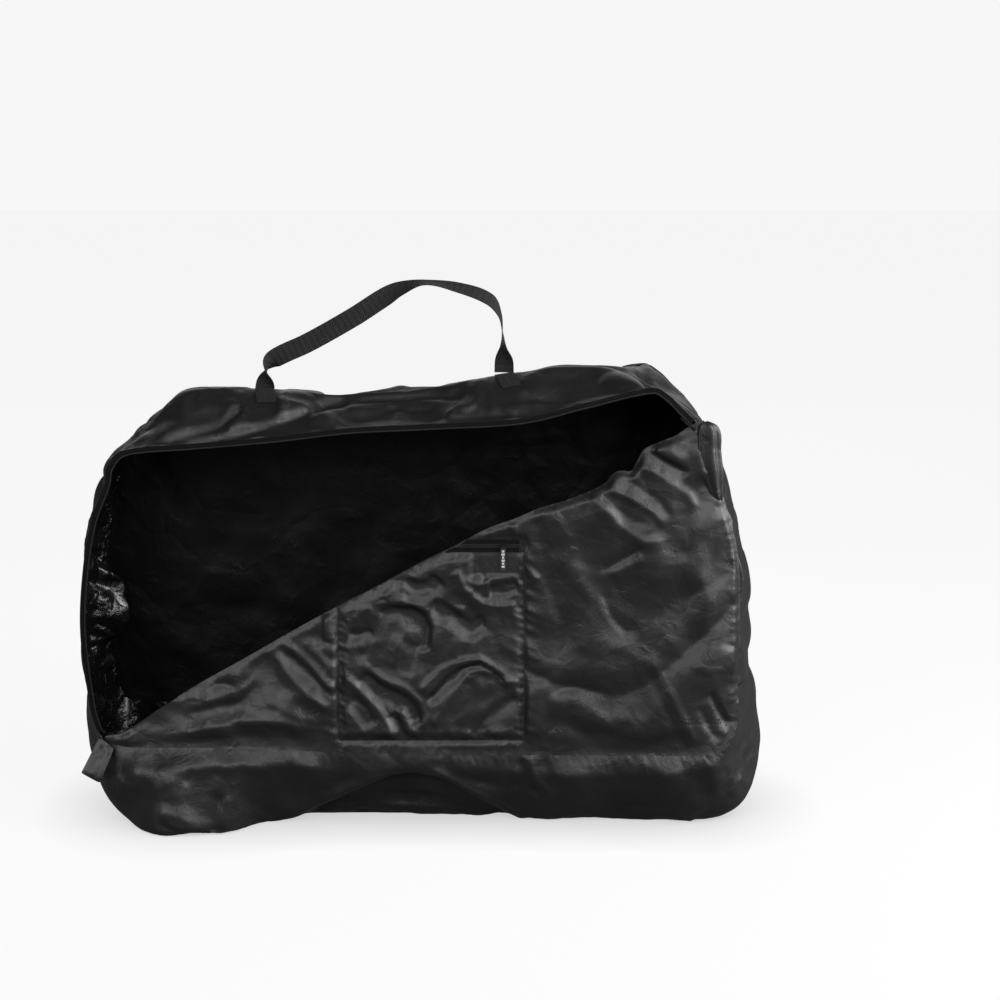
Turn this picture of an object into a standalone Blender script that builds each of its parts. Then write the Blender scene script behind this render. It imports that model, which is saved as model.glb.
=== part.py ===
"""Soft bike travel bag, standing with its front flap unzipped and folded inside.

Two large cloth panels are joined by a gusset ring of four strips. The upper left
part of the front is a flap between the side and top zip. It folds into the bag in
three pleats about lines that run parallel to the fold across the front. A pocket
with its own zip sits on the front, and a webbing loop on the top is the handle.

X runs along the bag, -Y faces the viewer and Z is up, in metres. The origin is on
the floor under the middle of the bag.
"""
import math

import bmesh
import bpy
import numpy as np

# Driving sizes of the bag
BAG_WIDTH = 1.35
BAG_HEIGHT = 0.896
BAG_DEPTH = 0.30
# The fold, the end tab and the pocket were drawn on a bag of this size, and follow it
WIDTH_SHARE = BAG_WIDTH / 1.35
HEIGHT_SHARE = BAG_HEIGHT / 0.896

# Cloth and sewing
CLOTH = 0.0012
SEAT_GAP = 0.0003
SEAM_GAP = 0.0006
SEAM_ALLOWANCE = 0.006
STATION_STEP = 0.055
SEAM_STRAIGHT_STEPS = 5
STRIP_STEP = 0.030
SEAM_HEADING_REACH = 0.00275
HALVINGS = 40
FLOOR_HALF_DEPTH = 0.11
FOOT_BULGE = 0.060
SIDE_BULGE = 0.006
FLOOR_CURVE_STEPS = 5
BINDING_WIDTH = 0.010
BINDING_INSET = 0.0040
BINDING_THICKNESS = 0.0008
BINDING_END_GAP = 0.115

# Curvature of the gusset across its depth: 1 is a tent, 2 is a round bulge
SIDE_POWER = 2.0
TOP_POWER = 1.4

# Fold across the front: height at the left seam and slope, and the pleats behind it
FOLD_START_X = -0.630 * WIDTH_SHARE
FOLD_START_Z = 0.185 * HEIGHT_SHARE
FOLD_RISE_SHARE = math.tan(math.radians(28.13))
FOLD_SLOPE_DEGREES = math.degrees(math.atan(FOLD_RISE_SHARE * HEIGHT_SHARE / WIDTH_SHARE))
FOLD_RADIUS = 0.003
PLEAT_LENGTH = 0.210 * HEIGHT_SHARE
FOLD_MARGIN = 0.0014
FOLD_ROLL_SIDES = 8

# Main zip
TAPE_THICKNESS = 0.0008
RIM_TAPE_WIDTH = 0.009
COIL_WIDTH = 0.002
COIL_THICKNESS = 0.0014
COIL_SPLIT = 0.0025
FLAP_TAPE_WIDTH = 0.006
RIM_END_HEIGHT = 0.0085
RIM_OVERRUN = 0.120
FLAP_CHAIN_START = 0.038
SLIDER_LENGTH = 0.014
SLIDER_WIDTH = 0.009
SLIDER_PLATE = 0.0010
SLIDER_POST_WIDTH = 0.0016
SLIDER_POST_LENGTH = 0.004
SLIDER_REST_HEIGHT = 0.022
STOP_LENGTH = 0.004
STOP_WIDTH = 0.0045
STOP_THICKNESS = 0.0030
STOP_HEIGHT = 0.0052
ARCH_LENGTH = 0.007
ARCH_BAR = 0.0014
EYE_BAR = 0.0014
EYE_SIDE_GAP = 0.0004
PULL_WIDTH = 0.007
PULL_LENGTH = 0.030
END_TAB_THICKNESS = 0.0014

# Front pocket
POCKET_LEFT = -0.163
POCKET_WIDTH = 0.366
POCKET_BOTTOM = 0.182 * HEIGHT_SHARE
POCKET_HEIGHT = 0.388 * HEIGHT_SHARE
POCKET_CLOTH = 0.0009
POCKET_CORNER_RADIUS = 0.012
POCKET_CORNER_STEPS = 4
POCKET_ZIP_STANDOFF = 0.0012
POCKET_TAPE_WIDTH = 0.0085
POCKET_SLIDER_PLATE = 0.0004
POCKET_SLIDER_FROM_SEAM = 0.043
POCKET_PULL_WIDTH = 0.011
POCKET_PULL_LENGTH = 0.050
POCKET_PULL_THICKNESS = 0.0020

# Handle
WEBBING_WIDTH = 0.038
WEBBING_THICKNESS = 0.0018
HANDLE_LEFT_X = -0.310
HANDLE_RIGHT_X = 0.162
HANDLE_RISE = 0.188
HANDLE_TAIL_START_SHARE = 0.12
HANDLE_TAIL_GAP = 0.0006
HANDLE_FOOT_GAP = 0.0006
HANDLE_STATIONS = 34

# Half of each width and depth, used throughout
HALF_WIDTH = BAG_WIDTH / 2
HALF_DEPTH = BAG_DEPTH / 2
FRONT_Y = -HALF_DEPTH
PANEL_INNER_Y = HALF_DEPTH - CLOTH / 2
GUSSET_EDGE_Y = PANEL_INNER_Y - SEAT_GAP
RIM_COIL_END = RIM_TAPE_WIDTH + SEAT_GAP + COIL_WIDTH
FLAP_COIL_START = RIM_COIL_END + COIL_SPLIT
FLAP_COIL_END = FLAP_COIL_START + COIL_WIDTH
FLAP_TAPE_START = FLAP_COIL_END + SEAT_GAP
FLAP_TAPE_END = FLAP_TAPE_START + FLAP_TAPE_WIDTH
FLAP_INSET = FLAP_TAPE_END + SEAT_GAP
EYE_SWEEP = EYE_BAR / math.sqrt(2) + SEAT_GAP
SLIDER_LINE_INSET = RIM_COIL_END + COIL_SPLIT / 2
POCKET_RIGHT = POCKET_LEFT + POCKET_WIDTH
POCKET_ZIP_Z = POCKET_BOTTOM + POCKET_HEIGHT
POCKET_COIL_NEAR = COIL_SPLIT / 2
POCKET_COIL_FAR = POCKET_COIL_NEAR + COIL_WIDTH
POCKET_TAPE_NEAR = POCKET_COIL_FAR + SEAT_GAP
POCKET_TAPE_FAR = POCKET_TAPE_NEAR + POCKET_TAPE_WIDTH
POCKET_CLOTH_TOP = POCKET_ZIP_Z - POCKET_TAPE_FAR - SEAT_GAP
FRONT_OUTER = CLOTH / 2
POCKET_CLOTH_LAYER = FRONT_OUTER + SEAT_GAP + POCKET_CLOTH / 2
POCKET_TAPE_LAYER = FRONT_OUTER + POCKET_ZIP_STANDOFF + TAPE_THICKNESS / 2

# Gusset outline stations. They run clockwise as the viewer sees them: along the base
# from right to left, up the left side, over the top and down the right side. Each is
# the seam (x, z) and then the middle of the depth (x, z), as shares of half the width
# and of the height.
BASE_SHARES = (
    (0.920, 0.318, 0.975, 0.318),
    (0.919, 0.240, 0.990, 0.212),
    (0.893, 0.192, 1.000, 0.140),
    (0.822, 0.176, 0.948, 0.045),
    (0.800, 0.175, 0.904, 0.013),
    (0.741, 0.174, 0.830, 0.000),
    (0.519, 0.173, 0.548, 0.000),
    (0.148, 0.173, 0.163, 0.000),
    (-0.222, 0.179, -0.222, 0.000),
    (-0.593, 0.188, -0.593, 0.000),
    (-0.741, 0.185, -0.756, 0.000),
    (-0.807, 0.183, -0.844, 0.013),
    (-0.874, 0.183, -0.926, 0.050),
    (-0.930, 0.198, -0.984, 0.128),
    (-0.957, 0.240, -0.997, 0.206),
)
LEFT_SHARES = (
    (-0.963, 0.296, -0.998, 0.285),
    (-0.973, 0.446, -1.000, 0.446),
    (-0.956, 0.580, -0.988, 0.586),
    (-0.924, 0.692, -0.960, 0.692),
)
TOP_SHARES = (
    (-0.901, 0.770, -0.926, 0.770),
    (-0.890, 0.808, -0.900, 0.808),
    (-0.856, 0.840, -0.852, 0.848),
    (-0.792, 0.852, -0.773, 0.900),
    (-0.662, 0.859, -0.684, 0.948),
    (-0.407, 0.876, -0.456, 0.952),
    (-0.203, 0.894, -0.246, 0.941),
    (0.030, 0.903, -0.006, 0.952),
    (0.287, 0.915, 0.204, 0.980),
    (0.474, 0.949, 0.422, 1.000),
    (0.659, 0.981, 0.593, 0.987),
    (0.708, 0.964, 0.674, 0.960),
    (0.748, 0.934, 0.733, 0.931),
    (0.790, 0.903, 0.785, 0.900),
)
RIGHT_SHARES = (
    (0.815, 0.868, 0.827, 0.868),
    (0.847, 0.792, 0.874, 0.787),
    (0.874, 0.725, 0.904, 0.720),
    (0.904, 0.647, 0.933, 0.642),
    (0.919, 0.558, 0.956, 0.558),
    (0.921, 0.446, 0.970, 0.446),
)
# Where the base pushes out in front and behind: left foot, right foot
FOOT_CENTRE_SHARES = (-0.70, 0.80)
FOOT_SPREAD_SHARES = (0.16, 0.10)
FOOT_SIZE_SHARES = (1.0, 0.35)

# Zip end tab at the lower left corner, in shares of the tab's own width and height
END_TAB_WIDTH = 0.056
END_TAB_HEIGHT = 0.083
END_TAB_RIGHT_X = -0.612 * WIDTH_SHARE
END_TAB_TOP_Z = 0.181 * HEIGHT_SHARE
END_TAB_SHARES = ((-0.29, 0.0), (-1.0, -0.78), (-0.50, -1.0), (0.0, -0.18))

# Handle centre line as shares of its span and rise, with the turn of the webbing
HANDLE_PATH_SHARES = (
    (0.000, 0.000, 0.0),
    (0.003, 0.100, 40.0),
    (0.012, 0.200, 100.0),
    (0.040, 0.300, 165.0),
    (0.186, 0.452, 180.0),
    (0.373, 0.685, 182.0),
    (0.500, 0.870, 200.0),
    (0.568, 0.952, 230.0),
    (0.672, 1.000, 262.0),
    (0.818, 0.917, 246.0),
    (0.940, 0.778, 240.0),
    (0.983, 0.607, 262.0),
    (0.994, 0.420, 272.0),
    (0.998, 0.260, 290.0),
    (1.000, 0.120, 340.0),
    (1.000, 0.000, 360.0),
)

PLEAT_NAMES = ("flap_lower", "flap_middle", "flap_tip")

# Colour, roughness and metallic value of each material
NYLON = ("black_nylon", (0.030, 0.030, 0.032), 0.55, 0.0)
TAPE = ("black_tape", (0.020, 0.020, 0.021), 0.80, 0.0)
COIL = ("black_coil", (0.016, 0.016, 0.017), 0.40, 0.0)
WEBBING = ("black_webbing", (0.024, 0.024, 0.025), 0.75, 0.0)
SLIDER_METAL = ("black_enamel", (0.022, 0.022, 0.023), 0.35, 0.9)
PULL_RUBBER = ("black_pull", (0.020, 0.020, 0.021), 0.50, 0.0)


def empty_scene():
    """Remove every object the file opened with."""
    for obj in list(bpy.data.objects):
        bpy.data.objects.remove(obj, do_unlink=True)


def show(label, values):
    """Print a place or a direction, for whoever joins the moving pieces."""
    print(label, ", ".join(f"{value:.5f}" for value in values))


def new_collection(name):
    """Make a collection under the scene's own one."""
    collection = bpy.data.collections.new(name)
    bpy.context.scene.collection.children.link(collection)
    return collection


def finish(obj, look):
    """Give an object its own material and put it in the bag's collection."""
    name, colour, roughness, metallic = look
    material = bpy.data.materials.new(f"{obj.name}_{name}")
    material.use_nodes = True
    shader = material.node_tree.nodes["Principled BSDF"]
    shader.inputs["Base Color"].default_value = (*colour, 1.0)
    shader.inputs["Roughness"].default_value = roughness
    shader.inputs["Metallic"].default_value = metallic
    obj.data.materials.append(material)
    BAG.objects.link(obj)
    return obj


def mesh_object(name, mesh_builder, look):
    """Make an object from a bmesh and close the bmesh."""
    mesh = bpy.data.meshes.new(name)
    mesh_builder.to_mesh(mesh)
    mesh_builder.free()
    return finish(bpy.data.objects.new(name, mesh), look)


def thicken(obj, thickness, offset):
    """Turn an open sheet into a solid; offset -1 is inward, 1 outward, 0 both ways."""
    modifier = obj.modifiers.new("Solidify", "SOLIDIFY")
    modifier.thickness = thickness
    modifier.offset = offset
    modifier.use_even_offset = True
    modifier.use_quality_normals = True
    return obj


def sheet(name, rows, thickness, offset, look, closed=False):
    """Make a thickened sheet from equal rows of points.

    Rows that run clockwise round the bag as the viewer sees it, with points that run
    from front to back, give faces that point out of the bag. A closed sheet joins its
    last row to its first.
    """
    mesh_builder = bmesh.new()
    grid = [[mesh_builder.verts.new(point) for point in row] for row in rows]
    pairs = list(zip(grid, grid[1:]))
    if closed:
        pairs.append((grid[-1], grid[0]))
    for lower, upper in pairs:
        for index in range(len(lower) - 1):
            mesh_builder.faces.new((lower[index], upper[index], upper[index + 1], lower[index + 1]))
    return thicken(mesh_object(name, mesh_builder, look), thickness, offset)


def flat_piece(name, outline, y, thickness, look):
    """Make a flat cloth piece in a plane across Y from its (x, z) outline."""
    curve = bpy.data.curves.new(name, "CURVE")
    curve.dimensions = "2D"
    curve.fill_mode = "BOTH"
    curve.extrude = thickness / 2
    spline = curve.splines.new("POLY")
    spline.points.add(len(outline) - 1)
    for point, (x, z) in zip(spline.points, outline):
        point.co = (x, z, 0.0, 1.0)
    spline.use_cyclic_u = True
    obj = finish(bpy.data.objects.new(name, curve), look)
    obj.location = (0.0, y, 0.0)
    obj.rotation_euler = (math.pi / 2, 0.0, 0.0)
    return obj


def add_box(mesh_builder, size, centre):
    """Add a box of the given size about a centre."""
    made = bmesh.ops.create_cube(mesh_builder, size=1.0)
    bmesh.ops.scale(mesh_builder, vec=size, verts=made["verts"])
    bmesh.ops.translate(mesh_builder, vec=centre, verts=made["verts"])


def smooth_values(knots, values, where, closed=False):
    """Read a smooth curve through values at uneven knots."""
    values = np.asarray(values, dtype=float)
    count = len(knots)
    period = knots[-1] if closed else None
    slopes = np.zeros_like(values)
    for index in range(count):
        before, after = max(index - 1, 0), min(index + 1, count - 1)
        step = knots[after] - knots[before]
        rise = values[after] - values[before]
        if closed and index in (0, count - 1):
            step = (knots[1] - knots[0]) + (knots[-1] - knots[-2])
            rise = values[1] - values[-2]
        slopes[index] = rise / step
    results = []
    for place in where:
        place = place % period if closed and place != period else place
        span = int(np.clip(np.searchsorted(knots, place, side="right") - 1, 0, count - 2))
        length = knots[span + 1] - knots[span]
        s = (place - knots[span]) / length
        start_weight = 2 * s**3 - 3 * s**2 + 1
        end_weight = 3 * s**2 - 2 * s**3
        start_slope = (s**3 - 2 * s**2 + s) * length
        end_slope = (s**3 - s**2) * length
        results.append(
            start_weight * values[span]
            + end_weight * values[span + 1]
            + start_slope * slopes[span]
            + end_slope * slopes[span + 1]
        )
    return np.array(results)


class Outline:
    """Seam and middle outlines of the gusset ring, read by distance round the bag."""

    def __init__(self):
        shares = np.array(BASE_SHARES + LEFT_SHARES + TOP_SHARES + RIGHT_SHARES)
        shares = np.vstack([shares, shares[0]])
        scale = (HALF_WIDTH, BAG_HEIGHT, HALF_WIDTH, BAG_HEIGHT)
        self.rows = shares * np.array(scale)
        steps = np.diff(self.rows, axis=0)
        lengths = (np.hypot(steps[:, 0], steps[:, 1]) + np.hypot(steps[:, 2], steps[:, 3])) / 2
        self.knots = np.concatenate([[0.0], np.cumsum(lengths)])
        counts = np.cumsum([0, len(BASE_SHARES), len(LEFT_SHARES), len(TOP_SHARES)])
        self.corners = [self.knots[count] for count in counts] + [self.knots[-1]]

    def read(self, places):
        """Give seam x, seam z, middle x and middle z at each place."""
        rows = smooth_values(self.knots, self.rows, places, closed=True)
        rows[:, 3] = np.maximum(rows[:, 3], 0.0)
        return rows

    def stations(self, start, end, step=STATION_STEP):
        """Give places between two ends, at the table's own points and between them."""
        marks = []
        for lap in (0.0, self.knots[-1]):
            for lower, upper in zip(self.knots, self.knots[1:]):
                pieces = max(1, round((upper - lower) / step))
                marks.extend(lap + lower + (upper - lower) * piece / pieces for piece in range(pieces))
        return [start] + [mark for mark in marks if start + SEAM_GAP < mark < end - SEAM_GAP] + [end]

    def seam(self, places, inset=0.0):
        """Give seam outline points moved inward by an inset."""
        points = self.read(places)[:, :2]
        ahead = self.read([place + SEAM_HEADING_REACH for place in places])[:, :2]
        behind = self.read([place - SEAM_HEADING_REACH for place in places])[:, :2]
        along = ahead - behind
        along /= np.linalg.norm(along, axis=1)[:, None]
        inward = np.stack([along[:, 1], -along[:, 0]], axis=1)
        return points + inward * inset


def fold_frame(points):
    """Give each (x, z) point as distance along and above the fold line."""
    points = np.asarray(points) - np.array([FOLD_START_X, FOLD_START_Z])
    slope = math.radians(FOLD_SLOPE_DEGREES)
    along = points @ np.array([math.cos(slope), math.sin(slope)])
    above = points @ np.array([-math.sin(slope), math.cos(slope)])
    return np.stack([along, above], axis=1)


def unfold_frame(points):
    """Give points along and above the fold line as (x, z)."""
    slope = math.radians(FOLD_SLOPE_DEGREES)
    points = np.asarray(points)
    x = points[:, 0] * math.cos(slope) - points[:, 1] * math.sin(slope)
    z = points[:, 0] * math.sin(slope) + points[:, 1] * math.cos(slope)
    return np.stack([x + FOLD_START_X, z + FOLD_START_Z], axis=1)


def side_rings():
    """Give depth and seam share of each ring across a side or top gusset."""
    inner = GUSSET_EDGE_Y - SEAM_ALLOWANCE
    depths = [GUSSET_EDGE_Y] + [
        inner * (1 - step / SEAM_STRAIGHT_STEPS) for step in range(SEAM_STRAIGHT_STEPS + 1)
    ]
    front = [-depth for depth in depths]
    return front + [depth for depth in reversed(depths[:-1])]


def seam_share(depth, power):
    """Give how far a ring lies toward the seam outline, from 0 to 1."""
    inner = GUSSET_EDGE_Y - SEAM_ALLOWANCE
    return min(1.0, abs(depth) / inner) ** power


def foot_bulge(x):
    """Give how far the base pushes out past the seam plane at x."""
    bulge = SIDE_BULGE
    for centre, spread, size in zip(FOOT_CENTRE_SHARES, FOOT_SPREAD_SHARES, FOOT_SIZE_SHARES):
        away = (x - centre * HALF_WIDTH) / (spread * HALF_WIDTH)
        bulge += FOOT_BULGE * size * math.exp(-away * away)
    return bulge


def base_ring(index, x):
    """Give depth and seam share of a ring where the base lies on the floor."""
    mirrored = min(index, 2 * (FLOOR_CURVE_STEPS + 1) - index)
    if mirrored > FLOOR_CURVE_STEPS:
        return 0.0, 0.0
    angle = math.pi / 2 * mirrored / FLOOR_CURVE_STEPS
    reach = FLOOR_HALF_DEPTH + (GUSSET_EDGE_Y - FLOOR_HALF_DEPTH) * math.cos(angle)
    reach += foot_bulge(x) * math.sin(2 * angle)
    sign = -1.0 if index == mirrored else 1.0
    return sign * reach, 1.0 - math.sin(angle)


def gusset_rows(outline, places, power, on_floor):
    """Give rows of points across the depth of a gusset at each place."""
    rows = []
    for seam_x, seam_z, middle_x, middle_z in outline.read(places):
        lie = 0.0
        if on_floor:
            lie = 1.0 - min(1.0, middle_z / seam_z)
            lie = lie * lie * (3 - 2 * lie)
        row = []
        for index, depth in enumerate(side_rings()):
            share = seam_share(depth, power)
            if lie > 0.0:
                floor_depth, floor_share = base_ring(index, middle_x)
                depth = depth + (floor_depth - depth) * lie
                share = share + (floor_share - share) * lie
            x = middle_x + (seam_x - middle_x) * share
            z = middle_z + (seam_z - middle_z) * share
            row.append((x, depth, z))
        rows.append(row)
    return rows


def make_gusset(outline, name, corner, power=SIDE_POWER, extra=(), on_floor=False):
    """Make one strip of the gusset ring between two of its corners."""
    start = outline.corners[corner] + SEAM_GAP / 2
    end = outline.corners[corner + 1] - SEAM_GAP / 2
    places = sorted(set(outline.stations(start, end)) | set(extra))
    rows = gusset_rows(outline, places, power, on_floor)
    return sheet(name, rows, CLOTH, -1.0, NYLON)


def rim_line(outline, inset):
    """Give the open rim from one end of the fold to the other, in fold coordinates."""
    start = outline.corners[1] - RIM_OVERRUN
    end = outline.corners[3] + RIM_OVERRUN
    return fold_frame(outline.seam(outline.stations(start, end, STRIP_STEP), inset))


def rising_part(line, low, high):
    """Give the part of a line, rising away from the fold, between two heights."""
    heights = np.maximum.accumulate(line[:, 1])
    ends = [(np.interp(height, heights, line[:, 0]), height) for height in (low, high)]
    inside = [point for point in line if low < point[1] < high]
    return np.array([ends[0], *inside, ends[1]])


def rim_parts(line, low, high):
    """Give the left and right parts of a rim line between two heights."""
    apex = int(np.argmax(line[:, 1]))
    top = min(high, line[apex, 1])
    left = rising_part(line[: apex + 1], low, top)
    right = rising_part(line[apex:][::-1], low, top)
    return left, right


def strip_outline(outer, inner):
    """Give the outline of a flat strip between two lines."""
    return np.vstack([outer, inner[::-1]])


class Pleat:
    """One pleat of the folded flap and the axis that it turns about."""

    def __init__(self, name, number):
        self.name = name
        self.low = PLEAT_LENGTH * number
        self.high = self.low + PLEAT_LENGTH
        self.faces_back = number % 2 == 0
        hang = 0.0 if self.faces_back else -PLEAT_LENGTH
        x, z = unfold_frame([(0.0, hang)])[0]
        depth = FRONT_Y + FOLD_RADIUS * (2 * number + 1)
        self.axis = bpy.data.objects.new(f"{name}_axis", None)
        self.axis.location = (x, depth, z)
        self.axis.rotation_euler = (0.0, -math.radians(FOLD_SLOPE_DEGREES), 0.0)
        BAG.objects.link(self.axis)

    def carry(self, obj, outward=0.0):
        """Hang a piece drawn in fold coordinates on the pleat, folded as at rest."""
        obj.parent = self.axis
        turn = -1.0 if self.faces_back else 1.0
        obj.location = (0.0, FOLD_RADIUS - turn * outward, 0.0)
        obj.rotation_euler = (turn * math.pi / 2, 0.0, 0.0)
        return obj

    def down(self, line):
        """Give a line in fold coordinates as measured from the pleat's own axis."""
        return np.asarray(line) - np.array([0.0, self.low])

    def lines(self, outline, inset, low_margin=FOLD_MARGIN, right_low=0.0):
        """Give the left and right rim lines of the pleat at an inset."""
        line = rim_line(outline, inset)
        low = self.low + low_margin
        high = self.high - FOLD_MARGIN
        left, _ = rim_parts(line, low, high)
        _, right = rim_parts(line, max(low, right_low), high)
        return self.down(left), self.down(right)

    def make_cloth(self, outline):
        """Make the pleat's cloth, from its fold to the next fold or the flap's tip."""
        left, right = self.lines(outline, FLAP_INSET)
        self.carry(flat_piece(self.name, strip_outline(left, right), 0.0, CLOTH, NYLON))

    def make_fold_roll(self, outline):
        """Make the round roll of cloth that turns on the pleat's own axis."""
        left, right = self.lines(outline, FLAP_INSET)
        start, end = left[0, 0], right[0, 0]
        mesh_builder = bmesh.new()
        bmesh.ops.create_cone(
            mesh_builder,
            cap_ends=True,
            segments=FOLD_ROLL_SIDES,
            radius1=FOLD_RADIUS - CLOTH / 2 - SEAT_GAP,
            radius2=FOLD_RADIUS - CLOTH / 2 - SEAT_GAP,
            depth=end - start,
        )
        obj = mesh_object(f"{self.name}_fold_roll", mesh_builder, NYLON)
        obj.parent = self.axis
        obj.location = ((start + end) / 2, 0.0, 0.0)
        obj.rotation_euler = (0.0, math.pi / 2, 0.0)

    def make_edge(self, outline, part, first, last, thickness, look):
        """Make the tape or coil along the pleat's free edges, between two insets."""
        sides = zip(
            self.lines(outline, first, right_low=FLAP_CHAIN_START),
            self.lines(outline, last, right_low=FLAP_CHAIN_START),
        )
        strips = {side: lines for side, lines in zip(("left", "right"), sides)}
        if self.low < max(rim_line(outline, first)[:, 1]) < self.high:
            joined = [np.vstack([left, right[::-1][1:]]) for left, right in zip(*strips.values())]
            strips = {"top": joined}
        for side, edges in strips.items():
            name = f"{self.name}_{part}_{side}"
            self.carry(flat_piece(name, strip_outline(*edges), 0.0, thickness, look))


def make_panels(outline):
    """Make the back panel and the part of the front below the fold."""
    whole = outline.stations(0.0, outline.knots[-1])[:-1]
    loop = outline.seam(whole)
    flat_piece("back_panel", loop, HALF_DEPTH, CLOTH, NYLON)

    below = fold_frame(loop)
    count = len(below)
    kept = []
    for index in range(count):
        here, after = below[index], below[(index + 1) % count]
        if here[1] <= -FOLD_MARGIN:
            kept.append(here)
        if (here[1] + FOLD_MARGIN) * (after[1] + FOLD_MARGIN) < 0.0:
            share = (here[1] + FOLD_MARGIN) / (here[1] - after[1])
            kept.append(here + (after - here) * share)
    flat_piece("front_panel", unfold_frame(kept), FRONT_Y, CLOTH, NYLON)


def make_bindings(outline):
    """Make the tape that binds the seam allowances inside the bag."""
    near, far = BINDING_INSET, BINDING_INSET + BINDING_WIDTH
    depth = PANEL_INNER_Y - SEAT_GAP - BINDING_THICKNESS / 2
    places = outline.stations(0.0, outline.knots[-1])[:-1]
    outer, inner = outline.seam(places, near), outline.seam(places, far)
    rows = [[(*a, 0.0), (*b, 0.0)] for a, b in zip(outer, inner)]
    binding = sheet("back_seam_binding", rows, BINDING_THICKNESS, 0.0, TAPE, closed=True)
    binding.location = (0.0, depth, 0.0)
    binding.rotation_euler = (math.pi / 2, 0.0, 0.0)

    end = outline.knots[-1] + outline.corners[1] - BINDING_END_GAP
    places = outline.stations(outline.corners[3], end)
    strip = strip_outline(outline.seam(places, near), outline.seam(places, far))
    flat_piece("front_seam_binding", strip, -depth, BINDING_THICKNESS, TAPE)


def make_rim_zip(outline):
    """Make the half of the main zip that is sewn to the gusset's open rim."""
    depth = FRONT_Y + CLOTH / 2 - TAPE_THICKNESS / 2
    apex_high = PLEAT_LENGTH * 3
    for name, first, last, thickness, look in (
        ("rim_zip_tape", 0.0, RIM_TAPE_WIDTH, TAPE_THICKNESS, TAPE),
        ("rim_zip_coil", RIM_TAPE_WIDTH + SEAT_GAP, RIM_COIL_END, COIL_THICKNESS, COIL),
    ):
        lines = []
        for inset in (first, last):
            left, right = rim_parts(rim_line(outline, inset), RIM_END_HEIGHT, apex_high)
            lines.append(unfold_frame(np.vstack([left, right[::-1][1:]])))
        flat_piece(name, strip_outline(*lines), depth, thickness, look)


def make_box_piece(name, size, location, rotation, look):
    """Make a box of a given size as its own piece."""
    mesh_builder = bmesh.new()
    add_box(mesh_builder, size, (0.0, 0.0, 0.0))
    obj = mesh_object(name, mesh_builder, look)
    obj.location = location
    obj.rotation_euler = rotation
    return obj


def combined(name, boxes, holes, look):
    """Make one solid from overlapping boxes, less its holes, in its own coordinates."""
    mesh_builder = bmesh.new()
    add_box(mesh_builder, *boxes[0])
    obj = mesh_object(name, mesh_builder, look)
    operations = [("UNION", box) for box in boxes[1:]] + [("DIFFERENCE", box) for box in holes]
    for number, (operation, (size, centre)) in enumerate(operations):
        tool_builder = bmesh.new()
        add_box(tool_builder, size, centre)
        tool_mesh = bpy.data.meshes.new(f"{name}_tool_{number}")
        tool_builder.to_mesh(tool_mesh)
        tool_builder.free()
        tool = bpy.data.objects.new(f"{name}_tool_{number}", tool_mesh)
        tool.hide_render = True
        tool.display_type = "WIRE"
        CUTTERS.objects.link(tool)
        tool.parent = obj
        modifier = obj.modifiers.new(f"Step {number}", "BOOLEAN")
        modifier.operation = operation
        modifier.solver = "EXACT"
        modifier.object = tool
    return obj


def make_slider(name, location, heading, inner_plate, coil_gap, arch_along_travel):
    """Make a zip slider: two plates, a post between the coils and an arch for its pull.

    Its own X is the way it travels, its own Z points out of the bag and its origin is
    between the coils. The height of the pull's axis above the origin is given back.
    """
    half_coil = COIL_THICKNESS / 2
    outer_low = half_coil + SEAT_GAP
    outer_top = outer_low + SLIDER_PLATE
    inner_top = -half_coil - coil_gap
    inner_low = inner_top - inner_plate
    outer_middle = (outer_low + outer_top) / 2
    inner_middle = (inner_low + inner_top) / 2
    axis_height = outer_top + EYE_SWEEP
    arch_top = axis_height + EYE_SWEEP + ARCH_BAR
    leg_height = arch_top - outer_middle
    reach = (ARCH_LENGTH - ARCH_BAR) / 2
    turn = 1.0 if arch_along_travel else 0.0
    arch_size = (
        ARCH_LENGTH if arch_along_travel else ARCH_BAR,
        ARCH_BAR if arch_along_travel else ARCH_LENGTH,
        ARCH_BAR,
    )
    post_x = (SLIDER_LENGTH - SLIDER_POST_LENGTH) / 2
    post_size = (SLIDER_POST_LENGTH, SLIDER_POST_WIDTH, outer_middle - inner_middle)
    boxes = [
        ((SLIDER_LENGTH, SLIDER_WIDTH, SLIDER_PLATE), (0, 0, outer_middle)),
        ((SLIDER_LENGTH, SLIDER_WIDTH, inner_plate), (0, 0, inner_middle)),
        (post_size, (post_x, 0, (outer_middle + inner_middle) / 2)),
        (arch_size, (0, 0, arch_top - ARCH_BAR / 2)),
    ]
    for side in (-reach, reach):
        place = (side * turn, side * (1.0 - turn), arch_top - leg_height / 2)
        boxes.append(((ARCH_BAR, ARCH_BAR, leg_height), place))
    obj = combined(name, boxes, [], SLIDER_METAL)
    obj.location = location
    obj.rotation_euler = (math.pi / 2, -heading, 0.0)
    return axis_height


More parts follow.
